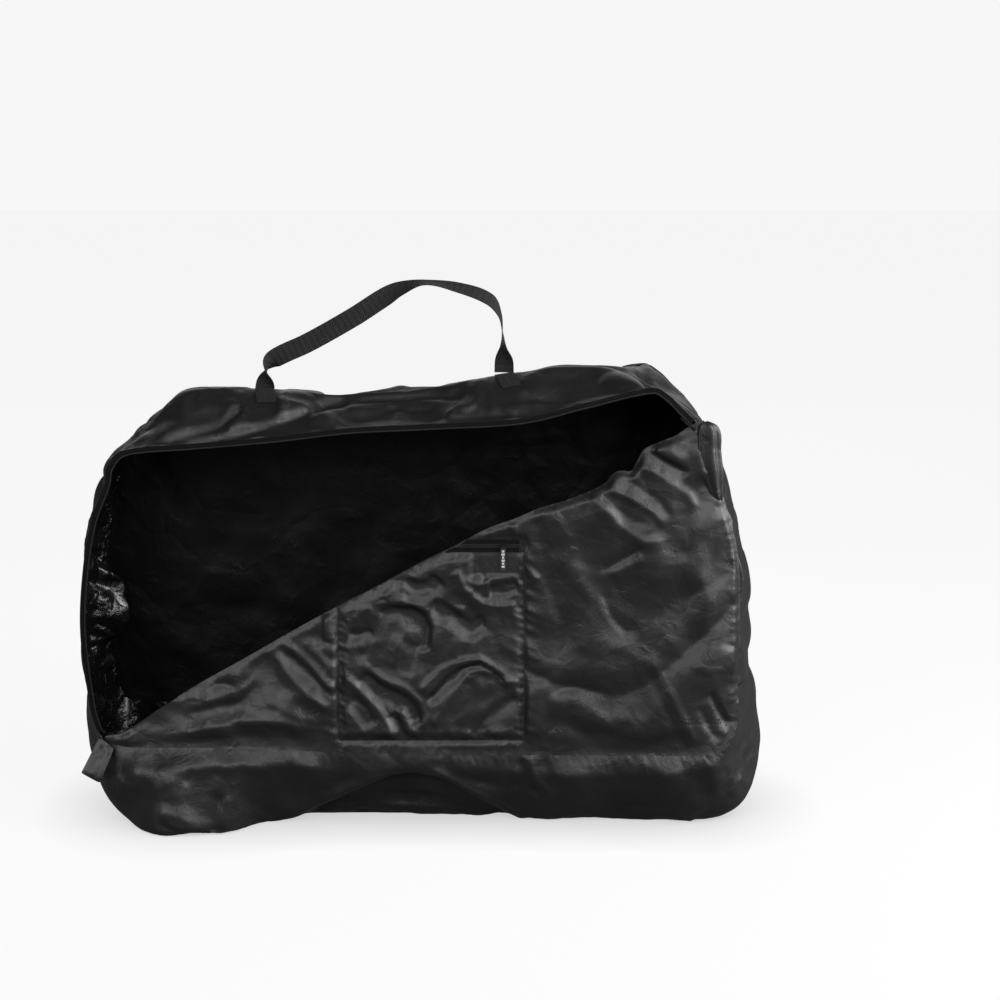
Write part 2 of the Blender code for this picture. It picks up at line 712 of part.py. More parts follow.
def make_pull(name, location, heading, size, look):
    """Make a zip pull: a tab with an eye that its slider's arch passes through.

    Its own Y is the axis that it turns about, through the bar at the end of the eye,
    and it lies along its own -X.
    """
    length, width, thickness = size
    eye_end = math.hypot(ARCH_LENGTH / 2, EYE_SWEEP + ARCH_BAR) + SEAT_GAP
    slot = ARCH_BAR + 2 * EYE_SIDE_GAP
    eye_length = EYE_BAR / 2 + eye_end + EYE_BAR
    eye_middle = EYE_BAR / 2 - eye_length / 2
    tab_length = length - eye_end
    tab_middle = -eye_end - tab_length / 2
    boxes = [
        ((eye_length, slot + 2 * EYE_BAR, EYE_BAR), (eye_middle, 0, 0)),
        ((tab_length, width, thickness), (tab_middle, 0, 0)),
    ]
    hole_length = eye_end - EYE_BAR / 2
    hole = ((hole_length, slot, 2 * thickness), (-EYE_BAR / 2 - hole_length / 2, 0, 0))
    obj = combined(name, boxes, [hole], look)
    obj.location = location
    obj.rotation_euler = (math.pi / 2, -heading, 0.0)


def make_main_slider(outline):
    """Make the main zip's slider, pull and end stops at the upper end of the opening."""
    line = rim_line(outline, SLIDER_LINE_INSET)
    _, right = rim_parts(line, RIM_END_HEIGHT, PLEAT_LENGTH)
    height = SLIDER_REST_HEIGHT
    reach = SLIDER_LENGTH / 2
    marks = [np.interp(level, right[:, 1], right[:, 0]) for level in (height - reach, height + reach)]
    low, high = unfold_frame([(marks[0], height - reach), (marks[1], height + reach)])
    middle = (low + high) / 2
    heading = math.atan2(high[1] - low[1], high[0] - low[0])
    tape_y = FRONT_Y + CLOTH / 2 - TAPE_THICKNESS / 2
    place = (middle[0], tape_y, middle[1])
    axis_height = make_slider("main_zip_slider", place, heading, SLIDER_PLATE, SEAT_GAP, True)
    pull_place = (middle[0], tape_y - axis_height, middle[1])
    size = (PULL_LENGTH, PULL_WIDTH, EYE_BAR)
    make_pull("main_zip_pull", pull_place, heading, size, SLIDER_METAL)
    show("main_zip_slider", place)
    show("main_zip_pull axis", pull_place)
    show("main_zip_slider travel", (math.cos(heading), 0.0, math.sin(heading)))
    size = (STOP_LENGTH, STOP_THICKNESS, STOP_WIDTH)
    left, right = rim_parts(rim_line(outline, RIM_COIL_END - COIL_WIDTH / 2), 0.0, PLEAT_LENGTH)
    for name, side, lean in (("lower", left, math.radians(-90)), ("upper", right, heading)):
        spot = unfold_frame([(np.interp(STOP_HEIGHT, side[:, 1], side[:, 0]), STOP_HEIGHT)])[0]
        place = (spot[0], tape_y, spot[1])
        make_box_piece(f"main_zip_stop_{name}", size, place, (0.0, -lean, 0.0), COIL)


def make_end_tab():
    """Make the cloth tab sewn in where the zip ends, at the lower left corner."""
    points = []
    for x_share, z_share in END_TAB_SHARES:
        x = END_TAB_RIGHT_X + x_share * END_TAB_WIDTH
        points.append((x, END_TAB_TOP_Z + z_share * END_TAB_HEIGHT))
    depth = FRONT_Y - FRONT_OUTER - SEAT_GAP - END_TAB_THICKNESS / 2
    flat_piece("zip_end_tab", points, depth, END_TAB_THICKNESS, TAPE)


def corner_arc(x, z, start_degrees):
    """Give the points of a rounded pocket corner about a centre."""
    points = []
    for step in range(POCKET_CORNER_STEPS + 1):
        angle = math.radians(start_degrees) + math.pi / 2 * step / POCKET_CORNER_STEPS
        across = POCKET_CORNER_RADIUS * math.cos(angle)
        points.append((x + across, z + POCKET_CORNER_RADIUS * math.sin(angle)))
    return points


def fold_z(x, above):
    """Give the height at x of the line that lies a distance above the fold."""
    slope = math.radians(FOLD_SLOPE_DEGREES)
    return FOLD_START_Z + (x - FOLD_START_X) * math.tan(slope) + above / math.cos(slope)


def fold_x(z, above):
    """Give where the line that lies a distance above the fold reaches a height."""
    slope = math.radians(FOLD_SLOPE_DEGREES)
    return FOLD_START_X + (z - FOLD_START_Z - above / math.cos(slope)) / math.tan(slope)


def make_pocket(lower_pleat):
    """Make the pocket's cloth below the fold and its corner on the folded flap."""
    radius = POCKET_CORNER_RADIUS
    bottom = POCKET_BOTTOM + radius
    outline = corner_arc(POCKET_LEFT + radius, bottom, 180.0)
    outline += corner_arc(POCKET_RIGHT - radius, bottom, 270.0)
    outline.append((POCKET_RIGHT, POCKET_CLOTH_TOP))
    outline.append((fold_x(POCKET_CLOTH_TOP, -FOLD_MARGIN), POCKET_CLOTH_TOP))
    outline.append((POCKET_LEFT, fold_z(POCKET_LEFT, -FOLD_MARGIN)))
    flat_piece("pocket_panel", outline, FRONT_Y - POCKET_CLOTH_LAYER, POCKET_CLOTH, NYLON)

    corner = [
        (POCKET_LEFT, fold_z(POCKET_LEFT, FOLD_MARGIN)),
        (fold_x(POCKET_CLOTH_TOP, FOLD_MARGIN), POCKET_CLOTH_TOP),
        (POCKET_LEFT, POCKET_CLOTH_TOP),
    ]
    piece = flat_piece("flap_pocket_corner", fold_frame(corner), 0.0, POCKET_CLOTH, NYLON)
    lower_pleat.carry(piece, POCKET_CLOTH_LAYER)


def make_pocket_zip(lower_pleat):
    """Make the pocket zip's tapes, coils, slider, pull and stop."""
    right = POCKET_RIGHT - POCKET_CORNER_RADIUS
    tape_y = FRONT_Y - POCKET_TAPE_LAYER
    for half, sign in (("upper", 1.0), ("lower", -1.0)):
        for part, near, far, thickness, look in (
            ("tape", POCKET_TAPE_NEAR, POCKET_TAPE_FAR, TAPE_THICKNESS, TAPE),
            ("coil", POCKET_COIL_NEAR, POCKET_COIL_FAR, COIL_THICKNESS, COIL),
        ):
            edges = []
            flap_edges = []
            for distance in (near, far):
                z = POCKET_ZIP_Z + sign * distance
                edges.append([(fold_x(z, -FOLD_MARGIN), z), (right, z)])
                flap_edges.append([(POCKET_LEFT + POCKET_CORNER_RADIUS, z), (fold_x(z, FOLD_MARGIN), z)])
            name = f"pocket_zip_{half}_{part}"
            flat_piece(name, strip_outline(*map(np.array, edges)), tape_y, thickness, look)
            strip = strip_outline(*map(fold_frame, flap_edges))
            lower_pleat.carry(flat_piece(f"flap_{name}", strip, 0.0, thickness, look), POCKET_TAPE_LAYER)

    x = POCKET_RIGHT - POCKET_SLIDER_FROM_SEAM
    place = (x, tape_y, POCKET_ZIP_Z)
    gap = (POCKET_ZIP_STANDOFF + TAPE_THICKNESS / 2 - COIL_THICKNESS / 2 - POCKET_SLIDER_PLATE) / 2
    axis_height = make_slider("pocket_zip_slider", place, math.pi, POCKET_SLIDER_PLATE, gap, False)
    pull_place = (x, tape_y - axis_height, POCKET_ZIP_Z)
    size = (POCKET_PULL_LENGTH, POCKET_PULL_WIDTH, POCKET_PULL_THICKNESS)
    make_pull("pocket_zip_pull", pull_place, math.pi / 2, size, PULL_RUBBER)
    show("pocket_zip_slider", place)
    show("pocket_zip_pull axis", pull_place)
    stop = (STOP_LENGTH, STOP_THICKNESS / 2, POCKET_COIL_FAR * 2)
    stop_x = right + STOP_LENGTH / 2 + SEAT_GAP
    make_box_piece("pocket_zip_stop", stop, (stop_x, tape_y, POCKET_ZIP_Z), (0.0, 0.0, 0.0), COIL)


def webbing_places(outline, x):
    """Give the two places along the top where a strap's edges cross the ridge."""
    half = WEBBING_WIDTH / 2
    return place_at_middle_x(outline, x - half), place_at_middle_x(outline, x + half)


def place_at_middle_x(outline, x):
    """Find the place along the top where the middle outline has a given x."""
    low, high = outline.corners[2], outline.corners[3]
    for _ in range(HALVINGS):
        middle = (low + high) / 2
        if outline.read([middle])[0][2] < x:
            low = middle
        else:
            high = middle
    return (low + high) / 2


def make_handle(outline):
    """Make the webbing loop and its two ends sewn down in front of the ridge."""
    feet = []
    for x in (HANDLE_LEFT_X, HANDLE_RIGHT_X):
        edges = outline.read(webbing_places(outline, x))
        feet.append((x, max(edges[:, 3]) + HANDLE_FOOT_GAP))
    shares = np.array(HANDLE_PATH_SHARES)
    start, end = np.array(feet)
    centre = start + (end - start) * shares[:, :1]
    centre[:, 1] += HANDLE_RISE * shares[:, 1]
    steps = np.linalg.norm(np.diff(centre, axis=0), axis=1)
    knots = np.concatenate([[0.0], np.cumsum(steps)])
    marks = np.linspace(0.0, knots[-1], HANDLE_STATIONS)
    values = np.column_stack([centre, np.radians(shares[:, 2])])
    path = smooth_values(knots, values, marks)
    along = np.gradient(path[:, :2], axis=0)
    along[0] = along[-1] = (0.0, 1.0)
    along[-1] *= -1.0
    along /= np.linalg.norm(along, axis=1)[:, None]
    rows = []
    half = WEBBING_WIDTH / 2
    for (x, z, turn), (ahead_x, ahead_z) in zip(path, along):
        side = (-ahead_z * math.cos(turn), math.sin(turn), ahead_x * math.cos(turn))
        rows.append([
            (x + sign * half * side[0], sign * half * side[1], z + sign * half * side[2])
            for sign in (-1.0, 1.0)
        ])
    sheet("handle_loop", rows, WEBBING_THICKNESS, 0.0, WEBBING)
    for x, z in feet:
        show("handle foot", (x, 0.0, z))

    middle_ring = len(side_rings()) // 2
    for name, x in (("left", HANDLE_LEFT_X), ("right", HANDLE_RIGHT_X)):
        rows = []
        for row in gusset_rows(outline, webbing_places(outline, x), TOP_POWER, False):
            ridge = np.array(row[middle_ring])
            front = [np.array(row[middle_ring - step]) for step in (1, 2)]
            start = ridge + (front[0] - ridge) * HANDLE_TAIL_START_SHARE
            lift = np.array((0.0, 0.0, HANDLE_TAIL_GAP))
            rows.append([tuple(point + lift) for point in (front[1], front[0], start)])
        sheet(f"handle_tail_{name}", rows, WEBBING_THICKNESS, 1.0, WEBBING)


def make_bag():
    """Build every piece of the bag."""
    outline = Outline()
    make_panels(outline)
    make_gusset(outline, "left_gusset", 1)
    extra = [place for x in (HANDLE_LEFT_X, HANDLE_RIGHT_X) for place in webbing_places(outline, x)]
    make_gusset(outline, "top_gusset", 2, power=TOP_POWER, extra=extra)
    make_gusset(outline, "right_gusset", 3)
    make_gusset(outline, "base_gusset", 0, on_floor=True)
    make_bindings(outline)
    make_rim_zip(outline)
    pleats = [Pleat(name, number) for number, name in enumerate(PLEAT_NAMES)]
    for pleat in pleats:
        pleat.make_cloth(outline)
        pleat.make_fold_roll(outline)
        pleat.make_edge(outline, "zip_tape", FLAP_TAPE_START, FLAP_TAPE_END, TAPE_THICKNESS, TAPE)
        pleat.make_edge(outline, "zip_coil", FLAP_COIL_START, FLAP_COIL_END, COIL_THICKNESS, COIL)
    make_main_slider(outline)
    make_end_tab()
    make_pocket(pleats[0])
    make_pocket_zip(pleats[0])
    make_handle(outline)
    for pleat in pleats:
        show(f"{pleat.name} axis", pleat.axis.location)


empty_scene()
BAG = new_collection("soft_bike_travel_bag")
CUTTERS = new_collection("cutters")
make_bag()
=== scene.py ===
"""Soft bike travel bag, standing with its front flap unzipped and folded inside.

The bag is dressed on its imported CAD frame: creased nylon panels and gussets, a zipped
pocket, the folded flap, zips, webbing handle and stitching, with a plain studio round it.
All lengths are in metres. X runs along the bag, -Y faces the viewer and Z is up.
"""
import logging
import math
from dataclasses import dataclass, field
from enum import Enum
from typing import Callable, Dict, Optional, Sequence, Tuple, Union

import bmesh
import bpy
import numpy as np
from mathutils import Matrix, Vector


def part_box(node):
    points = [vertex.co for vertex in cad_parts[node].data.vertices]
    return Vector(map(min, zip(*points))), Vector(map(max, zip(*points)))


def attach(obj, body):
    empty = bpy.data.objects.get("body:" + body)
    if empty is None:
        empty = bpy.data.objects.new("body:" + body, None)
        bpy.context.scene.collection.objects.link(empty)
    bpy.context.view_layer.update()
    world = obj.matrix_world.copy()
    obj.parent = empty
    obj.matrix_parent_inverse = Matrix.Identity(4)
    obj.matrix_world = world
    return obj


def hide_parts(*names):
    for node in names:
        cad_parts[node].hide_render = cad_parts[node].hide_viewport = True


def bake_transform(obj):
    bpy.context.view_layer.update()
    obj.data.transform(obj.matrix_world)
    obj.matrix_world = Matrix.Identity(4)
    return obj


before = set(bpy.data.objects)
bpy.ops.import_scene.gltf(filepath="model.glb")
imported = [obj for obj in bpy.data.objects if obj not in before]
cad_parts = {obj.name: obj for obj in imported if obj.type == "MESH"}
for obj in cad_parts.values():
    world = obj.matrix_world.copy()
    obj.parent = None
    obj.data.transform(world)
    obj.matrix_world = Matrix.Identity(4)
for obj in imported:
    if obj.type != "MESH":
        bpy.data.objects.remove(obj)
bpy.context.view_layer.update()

LOG = logging.getLogger("travel_bag")

Array = np.ndarray
Material = bpy.types.Material
Mesh = bpy.types.Mesh
Object = bpy.types.Object
Point = Tuple[float, float]
Triple = Tuple[float, float, float]

SEAM_Y = 0.1492
FRONT_Y = -0.150
HALF_WIDTH = 0.675
BAG_HEIGHT = 0.896
FOLD_START = np.array([-0.630, 0.185])
FOLD_SLOPE = math.radians(28.13)
PLEAT_LENGTH = 0.210
POCKET_LEFT, POCKET_RIGHT = -0.163, 0.203
POCKET_BOTTOM = 0.182
POCKET_ZIP_Z = 0.570
# The size of a picture mark on the front, in metres
MARK_SIZE = 0.00193
# How far forward or back the visual's cloth may reach
DEPTH_LIMIT = 0.2225
# The pocket zip's parts: near and far edge from the zip's middle, and thickness
ZIP_PARTS = (("tape", 0.0033, 0.0122, 0.0008), ("coil", 0.0009, 0.0034, 0.0014))
# The same for the flap's half of the main zip, from the bag's seam
FLAP_ZIP_PARTS = (("tape", 0.0161, 0.0221, 0.0008), ("coil", 0.0138, 0.0158, 0.0014))
# The three pleats' depths at rest, as y, and half the gap between two pleats
PLEAT_DEPTHS = (-0.144, -0.138, -0.132)
PLEAT_GAP = 0.0016
# The depth of the pocket's zip below the fold, as y
POCKET_ZIP_Y = -0.1522
# The middle of the stretch that the pocket's pull slides over, and half its length
PULL_MIDDLE, PULL_REACH = 0.145, 0.042
UV_NAME = "Cloth"


class Body(str, Enum):
    """The bodies of the frame that pieces ride on."""

    BAG = "bag"
    FLAP_LOWER = "flap_lower_pleat"
    FLAP_MIDDLE = "flap_middle_pleat"
    FLAP_TIP = "flap_tip_pleat"
    HANDLE = "handle"
    POCKET_PULL = "pocket_pull"


class Slot(str, Enum):
    """The record's material slots."""

    NYLON = "nylon"
    TAPE = "zip_tape"
    COIL = "zip_coil"
    WEBBING = "webbing"
    PULL = "zip_pull"


# Gusset outline: seam x, seam z, middle x, middle z as shares of half width and height,
# clockwise as seen from the front, starting at the right end of the base.
BASE_SHARES = (
    (0.920, 0.318, 0.975, 0.318), (0.919, 0.240, 0.990, 0.212), (0.893, 0.192, 1.000, 0.140),
    (0.822, 0.176, 0.948, 0.045), (0.800, 0.175, 0.904, 0.013), (0.741, 0.174, 0.830, 0.000),
    (0.519, 0.173, 0.548, 0.000), (0.148, 0.173, 0.163, 0.000), (-0.222, 0.179, -0.222, 0.000),
    (-0.593, 0.188, -0.593, 0.000), (-0.741, 0.185, -0.756, 0.000), (-0.807, 0.183, -0.844, 0.013),
    (-0.874, 0.183, -0.926, 0.050), (-0.930, 0.198, -0.984, 0.128), (-0.957, 0.240, -0.997, 0.206),
)
LEFT_SHARES = (
    (-0.970, 0.296, -0.998, 0.285), (-0.986, 0.446, -1.000, 0.446),
    (-0.972, 0.580, -0.988, 0.586), (-0.942, 0.692, -0.960, 0.692),
)
TOP_SHARES = (
    (-0.901, 0.770, -0.926, 0.770), (-0.890, 0.808, -0.900, 0.808), (-0.856, 0.840, -0.852, 0.848),
    (-0.792, 0.852, -0.773, 0.900), (-0.662, 0.859, -0.684, 0.948), (-0.407, 0.876, -0.456, 0.952),
    (-0.203, 0.894, -0.246, 0.941), (0.030, 0.903, -0.006, 0.952), (0.287, 0.915, 0.204, 0.980),
    (0.474, 0.949, 0.422, 1.000), (0.659, 0.981, 0.593, 0.987), (0.708, 0.964, 0.674, 0.960),
    (0.748, 0.934, 0.733, 0.931), (0.790, 0.903, 0.785, 0.900),
)
RIGHT_SHARES = (
    (0.815, 0.868, 0.827, 0.868), (0.847, 0.792, 0.874, 0.787), (0.874, 0.725, 0.904, 0.720),
    (0.904, 0.647, 0.933, 0.642), (0.919, 0.558, 0.956, 0.558), (0.921, 0.446, 0.970, 0.446),
)


# Curves and the view


def smooth_read(knots: Array, values: Array, where: Array, closed: bool = False) -> Array:
    """Read a smooth curve through values at uneven knots.

    Args:
        knots: Rising distances of the values.
        values: One row per knot.
        where: Distances to read at.
        closed: Whether the curve returns to its start at its last knot.

    Returns:
        One row per distance.
    """
    steps = np.diff(knots)
    slopes = np.empty_like(values)
    slopes[1:-1] = (values[2:] - values[:-2]) / (knots[2:] - knots[:-2])[:, None]
    if closed:
        slopes[0] = slopes[-1] = (values[1] - values[-2]) / (steps[0] + steps[-1])
        where = np.mod(where, knots[-1])
    else:
        slopes[0] = (values[1] - values[0]) / steps[0]
        slopes[-1] = (values[-1] - values[-2]) / steps[-1]
    span = np.clip(np.searchsorted(knots, where, side="right") - 1, 0, len(steps) - 1)
    length = steps[span]
    s = (where - knots[span]) / length
    parts = (
        (2 * s**3 - 3 * s**2 + 1, values[span]),
        (3 * s**2 - 2 * s**3, values[span + 1]),
        ((s**3 - 2 * s**2 + s) * length, slopes[span]),
        ((s**3 - s**2) * length, slopes[span + 1]),
    )
    return sum(weight[:, None] * rows for weight, rows in parts)


def ramp(low: float, high: float, value: Array) -> Array:
    """Rise smoothly from 0 at low to 1 at high."""
    s = np.clip((value - low) / (high - low), 0.0, 1.0)
    return s * s * (3 - 2 * s)


def walked(path: Array) -> Array:
    """Return how far each point of a path lies along it."""
    return np.concatenate([[0.0], np.cumsum(np.linalg.norm(np.diff(path, axis=0), axis=1))])


def closed(polygon: Array) -> Array:
    """Return an outline with its first point repeated at its end."""
    return np.vstack([polygon, polygon[:1]])


def nearest(points: Array, path: Array) -> Tuple[Array, Array, Array]:
    """Find the spot of a flat path that lies nearest to each point.

    Args:
        points: Flat points.
        path: The path's own points.

    Returns:
        The stretch of the path, the share along that stretch, and the distance.
    """
    starts, steps = path[:-1], np.diff(path, axis=0)
    squared = np.maximum((steps**2).sum(1), 1e-12)
    away = points[:, None, :] - starts[None]
    share = np.clip((away * steps[None]).sum(2) / squared, 0.0, 1.0)
    distance = np.linalg.norm(away - share[..., None] * steps[None], axis=2)
    best = distance.argmin(1)
    rows = np.arange(len(best))
    return best, share[rows, best], distance[rows, best]


@dataclass(frozen=True)
class Viewpoint:
    """The camera, and where points of the bag fall in its square picture."""

    aim: Triple = (0.154, -0.15, 0.66)
    elevation: float = math.radians(12.0)
    distance: float = 4.5
    lens_mm: float = 84.0
    sensor_mm: float = 36.0
    picture: float = 1000.0

    @property
    def focal(self) -> float:
        """Return the focal length in picture marks."""
        return self.lens_mm / self.sensor_mm * self.picture

    def frame(self) -> Tuple[Array, Array, Array]:
        """Return the camera's place, its forward direction and its up direction.

        Returns:
            The place and the two directions.
        """
        back = np.array([0.0, -math.cos(self.elevation), math.sin(self.elevation)])
        place = np.array(self.aim) + back * self.distance
        return place, -back, np.cross([1.0, 0.0, 0.0], -back)

    def project(self, points: Array) -> Array:
        """Return picture coordinates, right and down, of points in space.

        Args:
            points: Points in space.

        Returns:
            One pair for each point.
        """
        place, forward, up = self.frame()
        away = points - place
        scale = self.focal / (away @ forward)
        half = self.picture / 2
        return np.stack([half + away[:, 0] * scale, half - (away @ up) * scale], axis=1)

    def on_plane(self, marks: Sequence[Point], y: float = FRONT_Y) -> Array:
        """Return (x, z) where picture marks meet the plane at a given y.

        Args:
            marks: Pairs right and down in the picture.
            y: The plane's y.

        Returns:
            One row for each mark.
        """
        place, forward, up = self.frame()
        shares = (np.array(marks, dtype=float) - self.picture / 2) / self.focal
        rays = forward + shares[:, :1] * np.array([[1.0, 0.0, 0.0]]) - shares[:, 1:] * up
        hits = place + rays * ((y - place[1]) / rays[:, 1])[:, None]
        return hits[:, (0, 2)]

    def make_camera(self) -> None:
        """Make the camera and set it as the scene's own."""
        data = bpy.data.cameras.new("viewer")
        data.lens, data.sensor_width = self.lens_mm, self.sensor_mm
        camera = bpy.data.objects.new("viewer", data)
        bpy.context.scene.collection.objects.link(camera)
        camera.location = self.frame()[0]
        camera.rotation_euler = (math.pi / 2 - self.elevation, 0.0, 0.0)
        bpy.context.scene.camera = camera


VIEW = Viewpoint()


def unfold(along: Array, above: Array) -> Array:
    """Return (x, z) of points given along and above the fold line.

    Args:
        along: Distances along the fold line.
        above: Distances above it.

    Returns:
        One row for each point.
    """
    x = along * math.cos(FOLD_SLOPE) - above * math.sin(FOLD_SLOPE)
    z = along * math.sin(FOLD_SLOPE) + above * math.cos(FOLD_SLOPE)
    return np.stack([x + FOLD_START[0], z + FOLD_START[1]], axis=1)


def fold_frame(points: Array) -> Array:
    """Return (x, z) points as distances along and above the fold line.

    Args:
        points: (x, z) rows.

    Returns:
        One row for each point.
    """
    offset = points - FOLD_START
    cosine, sine = math.cos(FOLD_SLOPE), math.sin(FOLD_SLOPE)
    return offset @ np.array([[cosine, -sine], [sine, cosine]])


@dataclass(frozen=True)
class Ripples:
    """A smooth random field made of seeded plane waves.

    The waves' lengths lie between the two wavelengths, and the field is about 1 high.
    """

    seed: int
    shortest: float
    longest: float
    count: int = 24
    stretch: float = 1.0

    def at(self, u: Array, v: Array) -> Array:
        """Return the field's value at flat coordinates.

        Args:
            u: One flat coordinate.
            v: The other one.

        Returns:
            One value for each point.
        """
        chance = np.random.default_rng(self.seed)
        angles = chance.uniform(0, math.pi, self.count)
        lengths = self.shortest * (self.longest / self.shortest) ** chance.uniform(0, 1, self.count)
        phases = chance.uniform(0, 2 * math.pi, self.count)
        total = np.zeros_like(u)
        for angle, length, phase in zip(angles, lengths, phases):
            across = u * math.cos(angle) * self.stretch + v * math.sin(angle)
            total += np.sin(across * (2 * math.pi / length) + phase)
        return total / math.sqrt(self.count / 2)


@dataclass(frozen=True)
class Crumple:
    """Flat facets that meet at crisp creases, as thin coated cloth keeps them."""

    seed: int
    shortest: float
    longest: float
    count: int = 9
    softness: float = 0.97

    def at(self, u: Array, v: Array) -> Array:
        """Return the field's value, about 1 high, at flat coordinates.

        Args:
            u: One flat coordinate.
            v: The other one.

        Returns:
            One value for each point.
        """
        chance = np.random.default_rng(self.seed)
        total = np.zeros_like(u)
        for number in range(self.count):
            angle = chance.uniform(0, math.pi)
            length = self.shortest * (self.longest / self.shortest) ** chance.uniform()
            bend = Ripples(self.seed * 31 + number, length * 2.5, length * 5, 6).at(u, v) * length * 0.35
            patch = Ripples(self.seed * 57 + number, length * 2, length * 4, 8).at(u, v)
            wave = (u * math.cos(angle) + v * math.sin(angle) + bend) * (2 * math.pi / length)
            facet = np.arcsin(self.softness * np.sin(wave + chance.uniform(0, 6.3))) / (math.pi / 2)
            total += facet * ramp(-0.4, 0.9, patch) * (length / self.longest) ** 0.7
        return total / math.sqrt(self.count / 4)


# The bag's outline


class Outline:
    """Seam and middle outlines of the gusset ring, read by distance round the bag."""

    def __init__(self) -> None:
        """Read the share tables into knots and corners."""
        shares = np.array(BASE_SHARES + LEFT_SHARES + TOP_SHARES + RIGHT_SHARES)
        shares = np.vstack([shares, shares[0]])
        self.rows = shares * np.array((HALF_WIDTH, BAG_HEIGHT, HALF_WIDTH, BAG_HEIGHT))
        steps = np.diff(self.rows, axis=0)
        lengths = (np.hypot(steps[:, 0], steps[:, 1]) + np.hypot(steps[:, 2], steps[:, 3])) / 2
        self.knots = np.concatenate([[0.0], np.cumsum(lengths)])
        counts = np.cumsum([0, len(BASE_SHARES), len(LEFT_SHARES), len(TOP_SHARES)])
        self.corners = [float(self.knots[count]) for count in counts] + [float(self.knots[-1])]

    def read(self, places: Array) -> Array:
        """Return seam x, seam z, middle x and middle z at each place.

        Args:
            places: Distances round the bag.

        Returns:
            One row for each place.
        """
        rows = smooth_read(self.knots, self.rows, np.asarray(places, dtype=float), closed=True)
        rows[:, 3] = np.maximum(rows[:, 3], 0.0)
        return rows

    def seam(self, places: Array, inset: float = 0.0) -> Array:
        """Return seam points (x, z) moved inward by an inset.

        Args:
            places: Distances round the bag.
            inset: How far inward.

        Returns:
            One row for each place.
        """
        places = np.asarray(places, dtype=float)
        reach = 0.00275
        along = self.read(places + reach)[:, :2] - self.read(places - reach)[:, :2]
        along /= np.linalg.norm(along, axis=1)[:, None]
        inward = np.stack([along[:, 1], -along[:, 0]], axis=1)
        return self.read(places)[:, :2] + inward * inset

    def between(self, start: float, end: float, step: float) -> Array:
        """Return evenly spaced places from start to end."""
        return np.linspace(start, end, max(2, int(round((end - start) / step)) + 1))

    def whole(self, step: float) -> Array:
        """Return evenly spaced places once round the bag."""
        return np.linspace(0.0, self.knots[-1], int(round(self.knots[-1] / step)), endpoint=False)


OUTLINE = Outline()

# The folded edge of the front as the viewer sees it, left to right, in picture marks
FOLD_EDGE_MARKS = (
    (103, 746), (122, 733), (160, 708), (200, 683), (245, 658), (292, 631), (340, 605), (372, 589),
    (396, 576), (428, 559), (455, 546), (478, 533), (496, 525), (514, 519), (540, 508), (567, 500),
    (590, 491), (607, 482), (613, 474), (622, 470), (631, 472), (637, 463), (641, 455), (646, 448),
    (662, 441), (677, 435), (684, 430), (692, 425), (700, 421), (707, 420),
)


class FoldEdge:
    """The line that the front cloth folds over, in coordinates along and above the hinge."""

    def __init__(self) -> None:
        """Place the marks on the front's plane."""
        framed = fold_frame(VIEW.on_plane(FOLD_EDGE_MARKS))
        framed[0] = (0.0, -0.002)
        self.along = framed[:, 0]
        self.above = framed[:, 1]

    def at(self, along: Array) -> Array:
        """Return how far the edge lies above the hinge line."""
        rows = smooth_read(self.along, self.above[:, None], np.clip(along, self.along[0], self.along[-1]))
        return rows[:, 0]

    def points(self, step: float = 0.006) -> Array:
        """Return the edge as (x, z) points from left to right.

        Args:
            step: The distance between two points.

        Returns:
            One row for each point.
        """
        along = np.arange(self.along[0], self.along[-1], step)
        along = np.append(along, self.along[-1])
        return unfold(along, self.at(along))


FOLD_EDGE = FoldEdge()


# Creases, placed where the viewer sees them


# How many widths a crease reaches, how wide a width is drawn, and how much longer the
# broader of its two slopes is
CREASE_REACH, CREASE_SPREAD, BROAD_SIDE = 3.2, 2.1, 1.7


@dataclass(frozen=True)
class Crease:
    """A fold in the cloth along a line in the picture.

    Heights are in millimetres, outward where positive. The two widths, in picture
    marks, are the slopes to the left and to the right of the line as it is walked.
    """

    marks: Tuple[Point, ...]
    height: float
    left: float
    right: float
    fade: float = 0.25

    def displacement(self, seen: Array) -> Array:
        """Return the outward shift in metres of points seen at picture marks.

        Args:
            seen: The points' picture marks.

        Returns:
            One value for each point.
        """
        path = np.array(self.marks, dtype=float)
        reach = CREASE_REACH * max(self.left, self.right)
        near = np.all((seen > path.min(0) - reach) & (seen < path.max(0) + reach), axis=1)
        shift = np.zeros(len(seen))
        if not near.any():
            return shift
        best, share, distance = nearest(seen[near], path)
        steps, knots = np.diff(path, axis=0)[best], walked(path)
        away = seen[near] - path[best]
        turn = np.sign(steps[:, 0] * away[:, 1] - steps[:, 1] * away[:, 0])
        along = (knots[best] + share * np.diff(knots)[best]) / knots[-1]
        wide = (1.0, BROAD_SIDE) if self.right >= self.left else (BROAD_SIDE, 1.0)
        width = np.where(turn < 0, self.left * wide[0], self.right * wide[1]) * CREASE_SPREAD
        slope = np.sqrt((distance / width) ** 2 + 0.008) - 0.089
        body = np.maximum(1.0 - slope, 0.0) ** 1.5
        fade = ramp(0.0, self.fade, along) * ramp(0.0, self.fade, 1.0 - along)
        shift[near] = self.height / 1000.0 * body * fade
        return shift


# How far the lower front sags forward
BELLY_DEPTH = 0.024


def belly(points: Array) -> Array:
    """Return how far the lower front sags forward, as far as the floor.

    Args:
        points: Points in space.

    Returns:
        One value for each point.
    """
    below_fold = -fold_frame(points[:, (0, 2)])[:, 1]
    body = ramp(0.48, 0.14, points[:, 2]) * ramp(0.0, 0.13, points[:, 2])
    return BELLY_DEPTH * body * ramp(0.01, 0.14, below_fold) * ramp(0.655, 0.57, points[:, 0])


